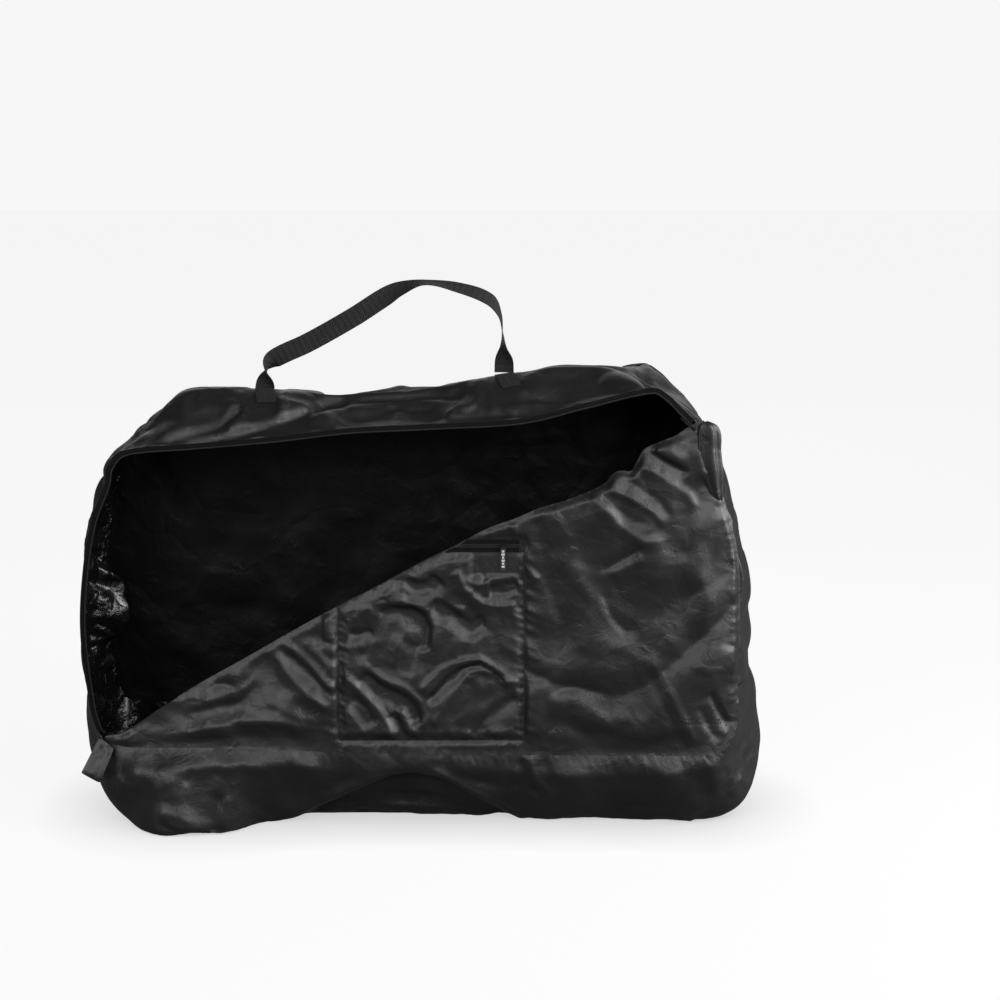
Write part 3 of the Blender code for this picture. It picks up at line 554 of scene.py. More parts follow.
def seam_roll(points: Array) -> Array:
    """Return how far points of the lower front and of the base under it lie forward of their seam.

    Args:
        points: Points in space.

    Returns:
        One value for each point.
    """
    flat = points.copy()
    flat[:, 1] = FRONT_Y
    total = Relief(SEAM_CREASES).at(flat)
    corner = ramp(0.02, 0.09, np.hypot(points[:, 0] + 0.63, points[:, 2] - 0.185))
    corner *= ramp(0.668, 0.60, points[:, 0])
    return total * corner + belly(points)


def lay_on_front(obj: Object) -> Object:
    """Move a piece that lies on the lower front forward with it.

    Args:
        obj: The piece.

    Returns:
        The piece.
    """
    points = read_points(obj.data)
    points[:, 1] -= seam_roll(points)
    write_points(obj.data, points)
    return obj


class Relief:
    """A set of creases that shape whatever cloth they fall on."""

    def __init__(self, creases: Sequence[Crease], rise: float = 1.0, fall: float = 1.0) -> None:
        """Keep the creases, and how much ridges and valleys are strengthened."""
        self.creases = tuple(creases)
        self.rise, self.fall = rise, fall

    def at(self, points: Array) -> Array:
        """Return the outward shift of points in space.

        Args:
            points: Points in space.

        Returns:
            One value for each point.
        """
        seen = VIEW.project(points)
        total = np.zeros(len(points))
        for crease in self.creases:
            total += crease.displacement(seen) * (self.rise if crease.height > 0 else self.fall)
        return total


FRONT_CREASES = (
    # Rolls and hollows at the lower left
    Crease(((150, 741), (190, 740), (240, 732), (285, 733), (334, 741)), -6.0, 6.0, 6.0, 0.2),
    Crease(((160, 737), (209, 724), (243, 716), (278, 716), (328, 727)), 7.0, 5.0, 6.0, 0.2),
    Crease(((180, 715), (217, 705), (239, 701), (253, 687), (256, 673)), -5.0, 3.5, 4.0, 0.2),
    Crease(((163, 696), (225, 682), (239, 687), (256, 669), (261, 665)), -3.5, 3.0, 2.5, 0.2),
    Crease(((190, 706), (230, 692), (250, 678)), 4.0, 4.0, 4.0, 0.3),
    Crease(((264, 676), (272, 700), (300, 712), (336, 718)), 4.0, 5.0, 3.5, 0.3),
    # Folds that run down to the pocket's left side
    Crease(((272, 646), (286, 667), (310, 690), (336, 710)), 6.0, 3.2, 4.0, 0.15),
    Crease(((277, 643), (300, 663), (337, 697)), -5.0, 3.2, 3.2, 0.15),
    Crease(((284, 640), (308, 660), (338, 688)), 5.5, 3.0, 3.5, 0.15),
    Crease(((305, 634), (322, 656), (338, 672)), 3.5, 3.0, 3.0, 0.2),
    Crease(((320, 614), (320, 632), (324, 646)), -5.0, 2.6, 2.6, 0.2),
    Crease(((327, 612), (328, 628), (332, 640)), 4.0, 2.6, 2.6, 0.2),
    # Folds out of the fold's right end
    Crease(((586, 491), (605, 506), (618, 522), (643, 538), (668, 536)), 3.8, 3.0, 3.5, 0.15),
    Crease(((595, 487), (614, 504), (632, 519), (652, 522)), -4.0, 4.0, 3.5, 0.2),
    Crease(((605, 486), (630, 496), (653, 509), (666, 526)), 4.5, 4.5, 3.0, 0.15),
    Crease(((618, 474), (640, 487), (660, 500), (672, 520)), -4.2, 3.0, 3.5, 0.2),
    Crease(((631, 461), (656, 471), (688, 493), (698, 509)), 5.2, 3.0, 5.0, 0.12),
    Crease(((645, 449), (661, 458), (688, 473)), -9.0, 2.6, 3.0, 0.1),
    Crease(((652, 444), (668, 448), (686, 462)), 3.4, 4.0, 4.0, 0.2),
    Crease(((697, 428), (701, 455), (706, 480)), 5.5, 3.2, 3.2, 0.15),
    Crease(((706, 428), (709, 452), (711, 474)), -4.5, 3.0, 3.0, 0.2),
    Crease(((716, 434), (716, 456), (715, 480)), 4.0, 3.0, 3.0, 0.2),
    Crease(((598, 571), (624, 557), (645, 543)), -4.5, 3.0, 2.4, 0.2),
    Crease(((604, 577), (632, 562), (655, 549)), 3.0, 4.5, 4.5, 0.3),
    Crease(((600, 586), (611, 615), (624, 628), (641, 629)), -4.0, 3.0, 2.6, 0.2),
    Crease(((540, 510), (545, 540), (560, 560)), -3.5, 6.0, 6.0, 0.3),
    Crease(((552, 506), (566, 528), (572, 545)), 3.0, 6.0, 5.0, 0.3),
    Crease(((553, 567), (575, 590), (590, 610)), -3.0, 6.0, 6.0, 0.3),
    # The pleat at the zip's right end
    Crease(((514, 521), (515, 547), (525, 566), (540, 580)), 5.5, 2.0, 3.0, 0.08),
    Crease(((509, 524), (510, 548), (519, 568), (532, 582)), -4.0, 2.4, 2.0, 0.1),
    # Long creases at the lower right
    Crease(((648, 651), (663, 675), (682, 714), (696, 742)), 3.6, 3.2, 8.0, 0.12),
    Crease(((640, 656), (655, 684), (674, 722), (686, 742)), -3.5, 5.0, 4.0, 0.2),
    Crease(((704, 688), (714, 711), (725, 734)), 2.6, 2.6, 2.8, 0.12),
    Crease(((707, 686), (717, 707), (727, 724)), -8.0, 3.4, 3.6, 0.15),
    Crease(((697, 700), (706, 720), (718, 738)), -4.5, 3.0, 2.6, 0.15),
    Crease(((527, 690), (545, 680), (566, 668)), 3.0, 4.0, 4.0, 0.3),
    Crease(((530, 697), (552, 690), (580, 683)), -3.0, 4.0, 4.0, 0.3),
    Crease(((690, 500), (700, 560), (710, 640), (716, 690)), 6.0, 16.0, 12.0, 0.15),
    Crease(((670, 560), (684, 610), (694, 660)), -3.5, 10.0, 9.0, 0.25),
    Crease(((560, 640), (600, 648), (640, 640)), 3.5, 14.0, 14.0, 0.3),
)

# Rolls that cross the seam between the front and the base
SEAM_CREASES = (
    Crease(((116, 765), (150, 763), (191, 760), (243, 758), (295, 759), (332, 765)), 14.0, 7.0, 8.0, 0.12),
    Crease(((330, 765), (400, 764), (470, 765), (528, 768)), 6.0, 8.0, 6.0, 0.25),
    Crease(((520, 771), (590, 771), (660, 769), (716, 759), (736, 742)), 15.0, 10.0, 11.0, 0.15),
)

POCKET_CREASES = (
    Crease(((397, 566), (404, 578), (416, 586), (430, 584), (437, 574)), -8.0, 3.4, 5.0, 0.12),
    Crease(((398, 580), (408, 590), (422, 592), (436, 588)), 5.0, 4.5, 3.0, 0.2),
    Crease(((398, 572), (391, 588), (386, 600)), 4.0, 2.6, 2.6, 0.15),
    Crease(((399, 575), (402, 590), (404, 603)), 3.5, 2.4, 2.4, 0.15),
    Crease(((376, 612), (390, 610), (411, 610), (420, 614), (426, 628), (425, 651)), -6.0, 3.6, 4.4, 0.1),
    Crease(((374, 603), (392, 601), (414, 602), (430, 611), (435, 630), (432, 655)), 4.5, 4.0, 3.0, 0.15),
    Crease(((430, 599), (443, 608), (462, 618), (470, 626), (486, 616)), -6.5, 3.6, 4.2, 0.12),
    Crease(((456, 567), (464, 586), (481, 601), (498, 605), (518, 603)), 6.5, 2.6, 3.2, 0.08),
    Crease(((462, 603), (462, 614), (468, 622)), 4.0, 3.0, 3.0, 0.2),
    Crease(((478, 559), (480, 571), (488, 579)), -6.0, 2.6, 2.8, 0.12),
    Crease(((473, 558), (475, 573), (484, 584)), 4.0, 2.4, 2.4, 0.2),
    Crease(((488, 590), (503, 590), (519, 584)), -7.5, 4.5, 4.0, 0.12),
    Crease(((470, 571), (474, 579), (482, 584)), 3.5, 2.0, 2.0, 0.2),
    Crease(
        ((418, 690), (441, 666), (464, 658), (480, 656), (491, 664), (506, 677), (524, 680)),
        5.5, 2.6, 3.6, 0.08,
    ),
    Crease(((426, 700), (446, 680), (464, 666), (480, 662), (492, 668), (508, 681)), -5.5, 2.8, 2.8, 0.1),
    Crease(
        ((431, 724), (443, 706), (457, 685), (470, 669), (482, 667), (492, 671), (513, 683)),
        5.5, 3.4, 3.0, 0.08,
    ),
    Crease(((357, 654), (370, 668), (388, 679), (406, 684), (420, 698), (428, 730)), 4.5, 3.0, 3.4, 0.1),
    Crease(((362, 668), (378, 684), (396, 692), (412, 702), (420, 722)), -7.0, 4.6, 4.6, 0.12),
    Crease(((343, 672), (361, 686), (378, 703), (390, 722), (391, 738)), 6.5, 3.0, 4.2, 0.08),
    Crease(((350, 690), (366, 704), (378, 722)), -4.0, 4.0, 4.0, 0.2),
    Crease(((346, 704), (356, 716), (368, 732)), 4.5, 3.4, 3.4, 0.2),
    Crease(((400, 704), (412, 723), (421, 741)), 5.5, 2.8, 2.8, 0.1),
    Crease(((393, 708), (403, 727), (410, 741)), -4.5, 2.6, 2.6, 0.12),
    Crease(((411, 624), (401, 640), (393, 667)), 4.0, 3.4, 3.4, 0.15),
    Crease(((420, 640), (412, 656), (409, 676)), -3.0, 4.0, 4.0, 0.2),
    Crease(((352, 620), (362, 610), (374, 606)), 4.0, 3.0, 3.0, 0.2),
    Crease(((346, 632), (360, 634), (374, 628)), -4.0, 3.6, 3.6, 0.2),
    Crease(((344, 648), (356, 642), (368, 646)), 3.0, 3.0, 3.0, 0.2),
    Crease(((470, 734), (484, 716), (506, 700), (520, 694)), -5.0, 4.2, 4.2, 0.12),
    Crease(((455, 738), (474, 726), (490, 704)), 3.5, 4.0, 4.0, 0.2),
    Crease(((490, 740), (500, 728), (516, 722)), 3.5, 3.6, 3.6, 0.2),
    Crease(((446, 640), (470, 640), (496, 632)), 3.0, 7.0, 8.0, 0.2),
)

BASE_CREASES = (
    Crease(((525, 745), (535, 775), (556, 796)), 6.0, 3.0, 3.4, 0.15),
    Crease(((518, 752), (530, 784), (540, 796)), -6.5, 4.0, 3.0, 0.15),
    Crease(((540, 752), (552, 772), (566, 784)), -4.5, 4.0, 4.0, 0.2),
    Crease(((429, 762), (452, 778), (477, 794), (528, 824)), 6.0, 2.6, 3.6, 0.1),
    Crease(((436, 758), (468, 775), (505, 786), (528, 780)), -5.5, 4.0, 3.6, 0.15),
    Crease(((250, 824), (300, 814), (337, 795), (375, 778), (395, 768)), 5.0, 4.0, 2.6, 0.15),
    Crease(((300, 800), (330, 786), (360, 768)), -4.0, 4.5, 4.5, 0.2),
    Crease(((300, 818), (345, 810), (400, 809), (440, 812), (500, 822)), 4.5, 2.4, 2.8, 0.15),
    Crease(((330, 803), (380, 797), (430, 799), (470, 808)), -3.5, 3.0, 3.0, 0.2),
    Crease(((370, 786), (410, 782), (440, 788)), 3.0, 3.0, 3.0, 0.2),
    Crease(((196, 762), (192, 772), (186, 780)), -4.0, 2.4, 2.4, 0.2),
    Crease(((222, 790), (216, 812), (213, 838)), -5.5, 3.4, 3.4, 0.15),
    Crease(((230, 792), (226, 812), (222, 832)), 4.0, 3.2, 3.2, 0.2),
    Crease(((154, 822), (180, 834), (216, 838)), -5.0, 4.0, 3.4, 0.2),
    Crease(((160, 806), (172, 820), (190, 826)), 3.5, 3.4, 3.4, 0.2),
    Crease(((115, 770), (126, 782), (140, 786)), 4.0, 3.4, 3.4, 0.2),
    Crease(((666, 811), (677, 794), (687, 776)), -3.5, 2.6, 2.6, 0.2),
    Crease(((655, 790), (668, 776), (684, 768)), 2.5, 6.0, 6.0, 0.3),
    Crease(((600, 800), (630, 806), (664, 804)), -3.0, 6.0, 6.0, 0.3),
    Crease(((727, 794), (735, 782), (744, 773)), 5.0, 4.0, 4.0, 0.2),
    Crease(((690, 822), (702, 816), (716, 808)), -4.5, 3.6, 3.6, 0.2),
    Crease(((720, 760), (728, 775), (726, 795)), -4.5, 3.0, 3.0, 0.2),
)

TOP_CREASES = (
    Crease(((150, 444), (167, 441), (195, 433), (223, 425), (243, 405)), -6.0, 3.4, 3.6, 0.1),
    Crease(((178, 446), (234, 434), (288, 418), (329, 401), (352, 398)), -9.0, 3.0, 4.2, 0.08),
    Crease(((222, 428), (240, 420), (262, 408), (290, 403)), 6.0, 4.0, 4.0, 0.15),
    Crease(((230, 412), (246, 400), (268, 396)), -4.0, 3.4, 3.4, 0.2),
    Crease(((300, 422), (330, 412), (370, 406), (420, 403), (470, 403)), 5.0, 3.4, 4.6, 0.1),
    Crease(((330, 417), (400, 418), (470, 416), (535, 412)), -5.0, 3.0, 3.2, 0.12),
    Crease(((345, 401), (390, 399), (430, 396), (480, 392)), -4.0, 3.0, 3.0, 0.15),
    Crease(((503, 395), (530, 398), (563, 399), (610, 390), (657, 386)), -7.0, 3.6, 3.0, 0.08),
    Crease(((380, 409), (410, 411), (440, 409)), -4.0, 2.0, 2.0, 0.2),
    Crease(((452, 408), (466, 411), (480, 407)), -4.0, 2.0, 2.0, 0.2),
    Crease(((500, 407), (520, 405), (545, 404)), 3.5, 2.6, 2.6, 0.2),
    Crease(((270, 391), (296, 394), (330, 399)), 3.0, 4.0, 4.0, 0.3),
    Crease(((131, 440), (150, 424), (176, 402)), 3.0, 5.0, 4.0, 0.2),
)


# Shaders


class Sock:
    """A shader socket on which Python's operators add Math nodes."""

    def __init__(self, tree: "Shader", socket: bpy.types.NodeSocket) -> None:
        """Wrap a socket of a node in the given shader."""
        self.tree = tree
        self.socket = socket

    def _join(self, operation: str, *values: object) -> "Sock":
        """Add a Math node."""
        return self.tree.node("ShaderNodeMath", {"operation": operation}, dict(enumerate(values)))

    def __add__(self, other: object) -> "Sock":
        """Add."""
        return self._join("ADD", self, other)

    __radd__ = __add__

    def __mul__(self, other: object) -> "Sock":
        """Multiply."""
        return self._join("MULTIPLY", self, other)

    __rmul__ = __mul__

    def __sub__(self, other: object) -> "Sock":
        """Take the other away."""
        return self._join("SUBTRACT", self, other)

    def __rsub__(self, other: object) -> "Sock":
        """Take this away from the other."""
        return self._join("SUBTRACT", other, self)

    def __truediv__(self, other: object) -> "Sock":
        """Divide."""
        return self._join("DIVIDE", self, other)

    def sine(self) -> "Sock":
        """Return the sine of the value."""
        return self._join("SINE", self)

    def least(self, other: object) -> "Sock":
        """Return the smaller of two values."""
        return self._join("MINIMUM", self, other)

    def most(self, other: object) -> "Sock":
        """Return the larger of two values."""
        return self._join("MAXIMUM", self, other)


class Shader:
    """A material's node tree, with one method that adds nodes."""

    def __init__(self, name: str) -> None:
        """Make an empty material of the given name.

        Args:
            name: Its name.
        """
        self.material = bpy.data.materials.new(name)
        self.material.use_nodes = True
        self.tree = self.material.node_tree
        self.tree.nodes.clear()

    def node(
        self, kind: str, settings: Dict[str, object], inputs: Dict[object, object], output: object = 0,
    ) -> Sock:
        """Add a node.

        Args:
            kind: The node's type.
            settings: Its settings, set before its sockets.
            inputs: Values or links by socket name or number.
            output: The output to give back.

        Returns:
            The output, wrapped.
        """
        made = self.tree.nodes.new(kind)
        for key, value in settings.items():
            setattr(made, key, value)
        for key, value in inputs.items():
            if isinstance(value, Sock):
                self.tree.links.new(value.socket, made.inputs[key])
            else:
                made.inputs[key].default_value = value
        return Sock(self, made.outputs[output])

    def noise(
        self, vector: Sock, scale: float, detail: float = 2.0, rough: float = 0.5, twist: float = 0.0,
        output: str = "Fac",
    ) -> Sock:
        """Return a noise texture's value or colour."""
        inputs = {"Vector": vector, "Scale": scale, "Detail": detail, "Roughness": rough, "Distortion": twist}
        return self.node("ShaderNodeTexNoise", {}, inputs, output)

    def facets(self, vector: Sock, scale: float, wander: float) -> Sock:
        """Return roof-like facets with crisp creases, as crumpled thin cloth has them.

        Args:
            vector: Where to read.
            scale: How many facets there are in a metre.
            wander: How far the creases stray, in metres.

        Returns:
            The height, in facet widths.
        """
        stray = self.noise(vector, scale * 0.7, output="Color")
        centred = self.node("ShaderNodeVectorMath", {"operation": "SUBTRACT"}, {0: stray, 1: (0.5, 0.5, 0.5)})
        parts = {0: centred, 1: (wander * 2, wander * 2, wander * 2), 2: vector}
        moved = self.node("ShaderNodeVectorMath", {"operation": "MULTIPLY_ADD"}, parts)
        inputs = {"Vector": moved, "Scale": scale}
        return self.node("ShaderNodeTexVoronoi", {"feature": "DISTANCE_TO_EDGE"}, inputs, "Distance")

    def place(self, stretch: Triple = (1.0, 1.0, 1.0)) -> Sock:
        """Return the object's own coordinates, stretched."""
        made = self.node("ShaderNodeTexCoord", {}, {}, "Object")
        return self.node("ShaderNodeMapping", {}, {"Vector": made, "Scale": stretch})

    def cloth_uv(self) -> Tuple[Sock, Sock]:
        """Return the cloth's own flat coordinates in metres.

        Returns:
            The one across and the one along.
        """
        uv = self.node("ShaderNodeUVMap", {"uv_map": UV_NAME}, {})
        across, along = (self.node("ShaderNodeSeparateXYZ", {}, {0: uv}, axis) for axis in ("X", "Y"))
        return across, along

    def blend_colour(self, mask: Sock, low: Triple, high: Triple) -> Sock:
        """Mix two colours by a mask."""
        inputs = {0: mask, 6: (*low, 1.0), 7: (*high, 1.0)}
        return self.node("ShaderNodeMix", {"data_type": "RGBA"}, inputs, 2)

    def bump(
        self, height: Sock, distance: float, strength: float = 1.0, normal: Optional[Sock] = None,
    ) -> Sock:
        """Turn a height into a normal.

        Args:
            height: The height.
            distance: The height's unit in metres.
            strength: How strongly it acts.
            normal: The normal below it, if any.

        Returns:
            The new normal.
        """
        inputs = {"Height": height, "Distance": distance, "Strength": strength}
        if normal is not None:
            inputs["Normal"] = normal
        return self.node("ShaderNodeBump", {}, inputs)

    def principled(self, inputs: Dict[str, object]) -> Material:
        """Add the surface shader and its output, and return the material."""
        self.show(self.node("ShaderNodeBsdfPrincipled", {}, inputs))
        return self.material

    def show(self, surface: Sock) -> None:
        """Link a surface to the material's output."""
        output = self.tree.nodes.new("ShaderNodeOutputMaterial")
        self.tree.links.new(surface.socket, output.inputs["Surface"])


@dataclass(frozen=True)
class ClothFinish:
    """Woven nylon: colour, gloss, sheen, and how crinkled and how coarse it is."""

    name: str
    colour: Triple
    lighter: Triple
    roughness: float
    spread: float
    crinkle_mm: float
    facet: float = 0.10
    weave_mm: float = 0.02
    thread: float = 0.0009
    sheen: float = 0.1
    shine: float = 0.5

    def make(self) -> Material:
        """Make the material.

        Returns:
            The material.
        """
        shader = Shader(self.name)
        place = shader.place()
        soft = shader.noise(place, 9.0, 3.0, 0.55, 0.4)
        patch = shader.noise(place, 34.0, 4.0, 0.6, 1.2)
        fine = shader.noise(place, 130.0, 3.0, 0.6, 0.6)
        across, along = shader.cloth_uv()
        turn = 2 * math.pi / self.thread
        weave = (across * turn).sine() * (along * turn).sine()
        crinkle = soft * 0.9 + fine * 0.12
        normal = shader.bump(crinkle, self.crinkle_mm / 1000.0)
        large = shader.facets(place, 9.0, 0.050)
        small = shader.facets(place, 24.0, 0.022)
        where = ((patch - 0.40) * 4.0).most(0.0).least(1.0)
        normal = shader.bump(large / 9.0 + small * where / 24.0, self.facet, 1.0, normal)
        normal = shader.bump(weave, self.weave_mm / 1000.0, 0.5, normal)
        mask = (soft * 0.6 + fine * 0.5).least(1.0)
        return shader.principled({
            "Base Color": shader.blend_colour(mask, self.colour, self.lighter),
            "Roughness": soft * self.spread + fine * self.spread + (self.roughness - self.spread),
            "Normal": normal,
            "Specular IOR Level": self.shine,
            "Sheen Weight": self.sheen,
            "Sheen Roughness": 0.4,
        })


@dataclass(frozen=True)
class WovenFinish:
    """Narrow woven goods, such as zip tape and webbing, with a slanted twill."""

    name: str
    colour: Triple
    lighter: Triple
    pitch: float
    depth_mm: float
    slant: float = 1.0
    roughness: float = 0.72
    shine: float = 0.30

    def make(self) -> Material:
        """Make the material.

        Returns:
            The material.
        """
        shader = Shader(self.name)
        across, along = shader.cloth_uv()
        turn = 2 * math.pi / self.pitch
        twill = ((across * self.slant + along) * turn).sine()
        ribs = (across * turn * 0.5).sine()
        fuzz = shader.noise(shader.place(), 900.0, 2.0)
        height = twill * 0.6 + ribs * 0.5 + fuzz * 0.5
        mask = (twill * 0.35 + fuzz * 0.5 + 0.2).least(1.0).most(0.0)
        return shader.principled({
            "Base Color": shader.blend_colour(mask, self.colour, self.lighter),
            "Roughness": fuzz * 0.2 + (self.roughness - 0.1),
            "Normal": shader.bump(height, self.depth_mm / 1000.0, 0.8),
            "Specular IOR Level": self.shine,
            "Sheen Weight": 0.02,
        })


@dataclass(frozen=True)
class HardFinish:
    """Moulded or enamelled pieces, with faint scuffs."""

    name: str
    colour: Triple
    worn: Triple
    roughness: float
    metallic: float = 0.0
    grain: float = 260.0
    grain_mm: float = 0.03

    def make(self) -> Material:
        """Make the material.

        Returns:
            The material.
        """
        shader = Shader(self.name)
        place = shader.place()
        scuff = shader.noise(place, self.grain, 4.0, 0.65)
        grit = shader.noise(place, self.grain * 6.0, 2.0)
        mask = ((scuff - 0.55) * 4.0).most(0.0).least(1.0)
        return shader.principled({
            "Base Color": shader.blend_colour(mask, self.colour, self.worn),
            "Roughness": scuff * 0.25 + (self.roughness - 0.1),
            "Metallic": self.metallic,
            "Normal": shader.bump(grit, self.grain_mm / 1000.0, 0.6),
        })


class Finishes:
    """Every material of the bag, made once."""

    def __init__(self) -> None:
        """Make the materials."""
        self.outer = ClothFinish(
            "outer_nylon", (0.0064, 0.0064, 0.0069), (0.0092, 0.0092, 0.0098), 0.44, 0.05, 0.30,
            facet=0.055, sheen=0.0, shine=0.5,
        ).make()
        # Inside cloth: the coated side is dark, and its colour is darker still to stand for the shade inside
        # the open bag, so it is partly painted shade.
        self.inner = ClothFinish(
            "coated_inside", (0.0022, 0.0022, 0.0024), (0.0034, 0.0034, 0.0036), 0.46, 0.06, 0.5,
            facet=0.05, weave_mm=0.01, sheen=0.0, shine=0.15,
        ).make()
        # Glossier inside cloth for the left end and the base: its gloss is real, and its dark colour is
        # partly painted shade, like the one above.
        self.glossy = ClothFinish(
            "glossy_inside", (0.003, 0.003, 0.0032), (0.005, 0.005, 0.0052), 0.27, 0.05, 0.5,
            facet=0.22, weave_mm=0.01, sheen=0.0, shine=0.7,
        ).make()
        self.tape = WovenFinish(
            "zip_tape_weave", (0.0012, 0.0012, 0.0013), (0.0030, 0.0030, 0.0032), 0.0016, 0.10, shine=0.12,
        ).make()
        self.webbing = WovenFinish(
            "webbing_weave", (0.003, 0.003, 0.0032), (0.015, 0.015, 0.0158), 0.0060, 0.6, slant=0.9,
        ).make()
        self.thread = WovenFinish(
            "sewing_thread", (0.008, 0.008, 0.0085), (0.018, 0.018, 0.0185), 0.0012, 0.05, roughness=0.6,
        ).make()
        self.coil = HardFinish("zip_coil_nylon", (0.005, 0.005, 0.0052), (0.012, 0.012, 0.0125), 0.42).make()
        self.metal = HardFinish(
            "enamelled_slider", (0.022, 0.022, 0.023), (0.20, 0.20, 0.205), 0.34, metallic=0.85, grain=420.0,
        ).make()
        self.pull = HardFinish("moulded_pull", (0.018, 0.018, 0.019), (0.035, 0.035, 0.036), 0.5).make()
        self.mark = HardFinish("pale_mark", (0.50, 0.50, 0.50), (0.34, 0.34, 0.34), 0.55).make()

    def woven(self, part: str) -> Tuple[Material, Slot]:
        """Return the material and the slot of a zip's tape or coil."""
        return (self.tape, Slot.TAPE) if part == "tape" else (self.coil, Slot.COIL)


# Meshes


def set_uv(mesh: Mesh, flat: Array) -> None:
    """Give each vertex its flat cloth coordinates as a UV map in metres.

    Args:
        mesh: The mesh.
        flat: One row for each vertex.
    """
    layer = mesh.uv_layers.new(name=UV_NAME)
    corners = np.empty(len(mesh.loops), dtype=np.int64)
    mesh.loops.foreach_get("vertex_index", corners)
    layer.data.foreach_set("uv", flat[corners].astype(np.float32).ravel())


def read_points(mesh: Mesh) -> Array:
    """Return a mesh's vertex places.

    Args:
        mesh: The mesh.

    Returns:
        One row for each vertex.
    """
    points = np.empty(len(mesh.vertices) * 3)
    mesh.vertices.foreach_get("co", points)
    return points.reshape(-1, 3)


def write_points(mesh: Mesh, points: Array) -> None:
    """Set a mesh's vertex places."""
    mesh.vertices.foreach_set("co", points.astype(np.float64).ravel())
    mesh.update()


def read_normals(mesh: Mesh) -> Array:
    """Return a mesh's vertex normals.

    Args:
        mesh: The mesh.

    Returns:
        One row for each vertex.
    """
    normals = np.empty(len(mesh.vertices) * 3)
    mesh.vertices.foreach_get("normal", normals)
    return normals.reshape(-1, 3)


def new_object(name: str, mesh_builder: bmesh.types.BMesh, smooth: bool = True) -> Object:
    """Make an object from a bmesh and free the bmesh.

    Args:
        name: Its name.
        mesh_builder: The bmesh.
        smooth: Whether its faces are shaded smooth.

    Returns:
        The piece.
    """
    mesh = bpy.data.meshes.new(name)
    mesh_builder.to_mesh(mesh)
    mesh_builder.free()
    if smooth:
        mesh.polygons.foreach_set("use_smooth", [True] * len(mesh.polygons))
    obj = bpy.data.objects.new(name, mesh)
    bpy.context.scene.collection.objects.link(obj)
    return obj


def inside_polygon(points: Array, polygon: Array) -> Array:
    """Return which points lie inside a closed outline.

    Args:
        points: Flat points.
        polygon: The outline's points.

    Returns:
        True for the points inside.
    """
    inside = np.zeros(len(points), dtype=bool)
    ahead = np.roll(polygon, -1, axis=0)
    for (x0, z0), (x1, z1) in zip(polygon, ahead):
        if z0 == z1:
            continue
        crosses = (points[:, 1] > min(z0, z1)) & (points[:, 1] <= max(z0, z1))
        reach = x0 + (points[:, 1] - z0) * (x1 - x0) / (z1 - z0)
        inside ^= crosses & (points[:, 0] < reach)
    return inside


def nearest_on_polygon(points: Array, polygon: Array) -> Array:
    """Return the nearest points on a closed outline.

    Args:
        points: Flat points.
        polygon: The outline's points.

    Returns:
        One row for each point.
    """
    path = closed(polygon)
    best, share, _ = nearest(points, path)
    return path[best] + share[:, None] * np.diff(path, axis=0)[best]


def trimmed_sheet(name: str, polygon: Array, y: float, cell: Point, start: Point = (0.0, 0.0)) -> Object:
    """Make a flat sheet of square cells whose border follows an outline.

    Args:
        name: The piece's name.
        polygon: The closed outline as (x, z) rows.
        y: The plane that the sheet lies in.
        cell: The cells' width and height.
        start: A point that a grid corner falls on.

    Returns:
        The sheet's object, with faces that point to the viewer.
    """
    cell_size, anchor = np.array(cell), np.array(start)
    low = np.floor((polygon.min(0) - anchor) / cell_size).astype(int) - 1
    high = np.ceil((polygon.max(0) - anchor) / cell_size).astype(int) + 1
    counts = high - low
    builder = bmesh.new()
    bmesh.ops.create_grid(builder, x_segments=int(counts[0]), y_segments=int(counts[1]), size=0.5)
    builder.verts.ensure_lookup_table()
    shares = np.array([vert.co[:2] for vert in builder.verts]) + 0.5
    flat = anchor + (low + shares * counts) * cell_size
    inside = inside_polygon(flat, polygon)
    gap = np.linalg.norm(nearest_on_polygon(flat, polygon) - flat, axis=1)
    keep = inside | (gap < 0.45 * cell_size.min())
    for vert, (x, z) in zip(builder.verts, flat):
        vert.co = (x, 0.0, z)
    outside = [vert for vert, kept in zip(builder.verts, keep) if not kept]
    bmesh.ops.delete(builder, geom=outside, context="VERTS")
    loose = [vert for vert in builder.verts if not vert.link_faces]
    bmesh.ops.delete(builder, geom=loose, context="VERTS")
    builder.verts.ensure_lookup_table()
    border = [vert for vert in builder.verts if vert.is_boundary]
    spots = nearest_on_polygon(np.array([(vert.co.x, vert.co.z) for vert in border]), polygon)
    for vert, (x, z) in zip(border, spots):
        vert.co = (x, 0.0, z)
    close = {other for vert in border for edge in vert.link_edges for other in edge.verts} - set(border)
    for _ in range(2):
        bmesh.ops.smooth_vert(builder, verts=list(close), factor=0.5, use_axis_x=True, use_axis_z=True)
    obj = new_object(name, builder)
    points = read_points(obj.data)
    points[:, 1] = y
    write_points(obj.data, points)
    set_uv(obj.data, points[:, (0, 2)])
    return obj


def border_mask(mesh: Mesh) -> Array:
    """Return which vertices lie on a sheet's open border.

    Args:
        mesh: The mesh.

    Returns:
        True for the vertices on the border.
    """
    builder = bmesh.new()
    builder.from_mesh(mesh)
    mask = np.array([vert.is_boundary for vert in builder.verts])
    builder.free()
    return mask


def bake(obj: Object) -> None:
    """Apply an object's modifiers to its mesh.

    Args:
        obj: The piece.
    """
    graph = bpy.context.evaluated_depsgraph_get()
    shaped = obj.evaluated_get(graph)
    made = bpy.data.meshes.new_from_object(shaped, preserve_all_data_layers=True, depsgraph=graph)
    old = obj.data
    obj.modifiers.clear()
    obj.data = made
    made.name = obj.name
    made.set_sharp_from_angle(angle=math.radians(60))
    bpy.data.meshes.remove(old)


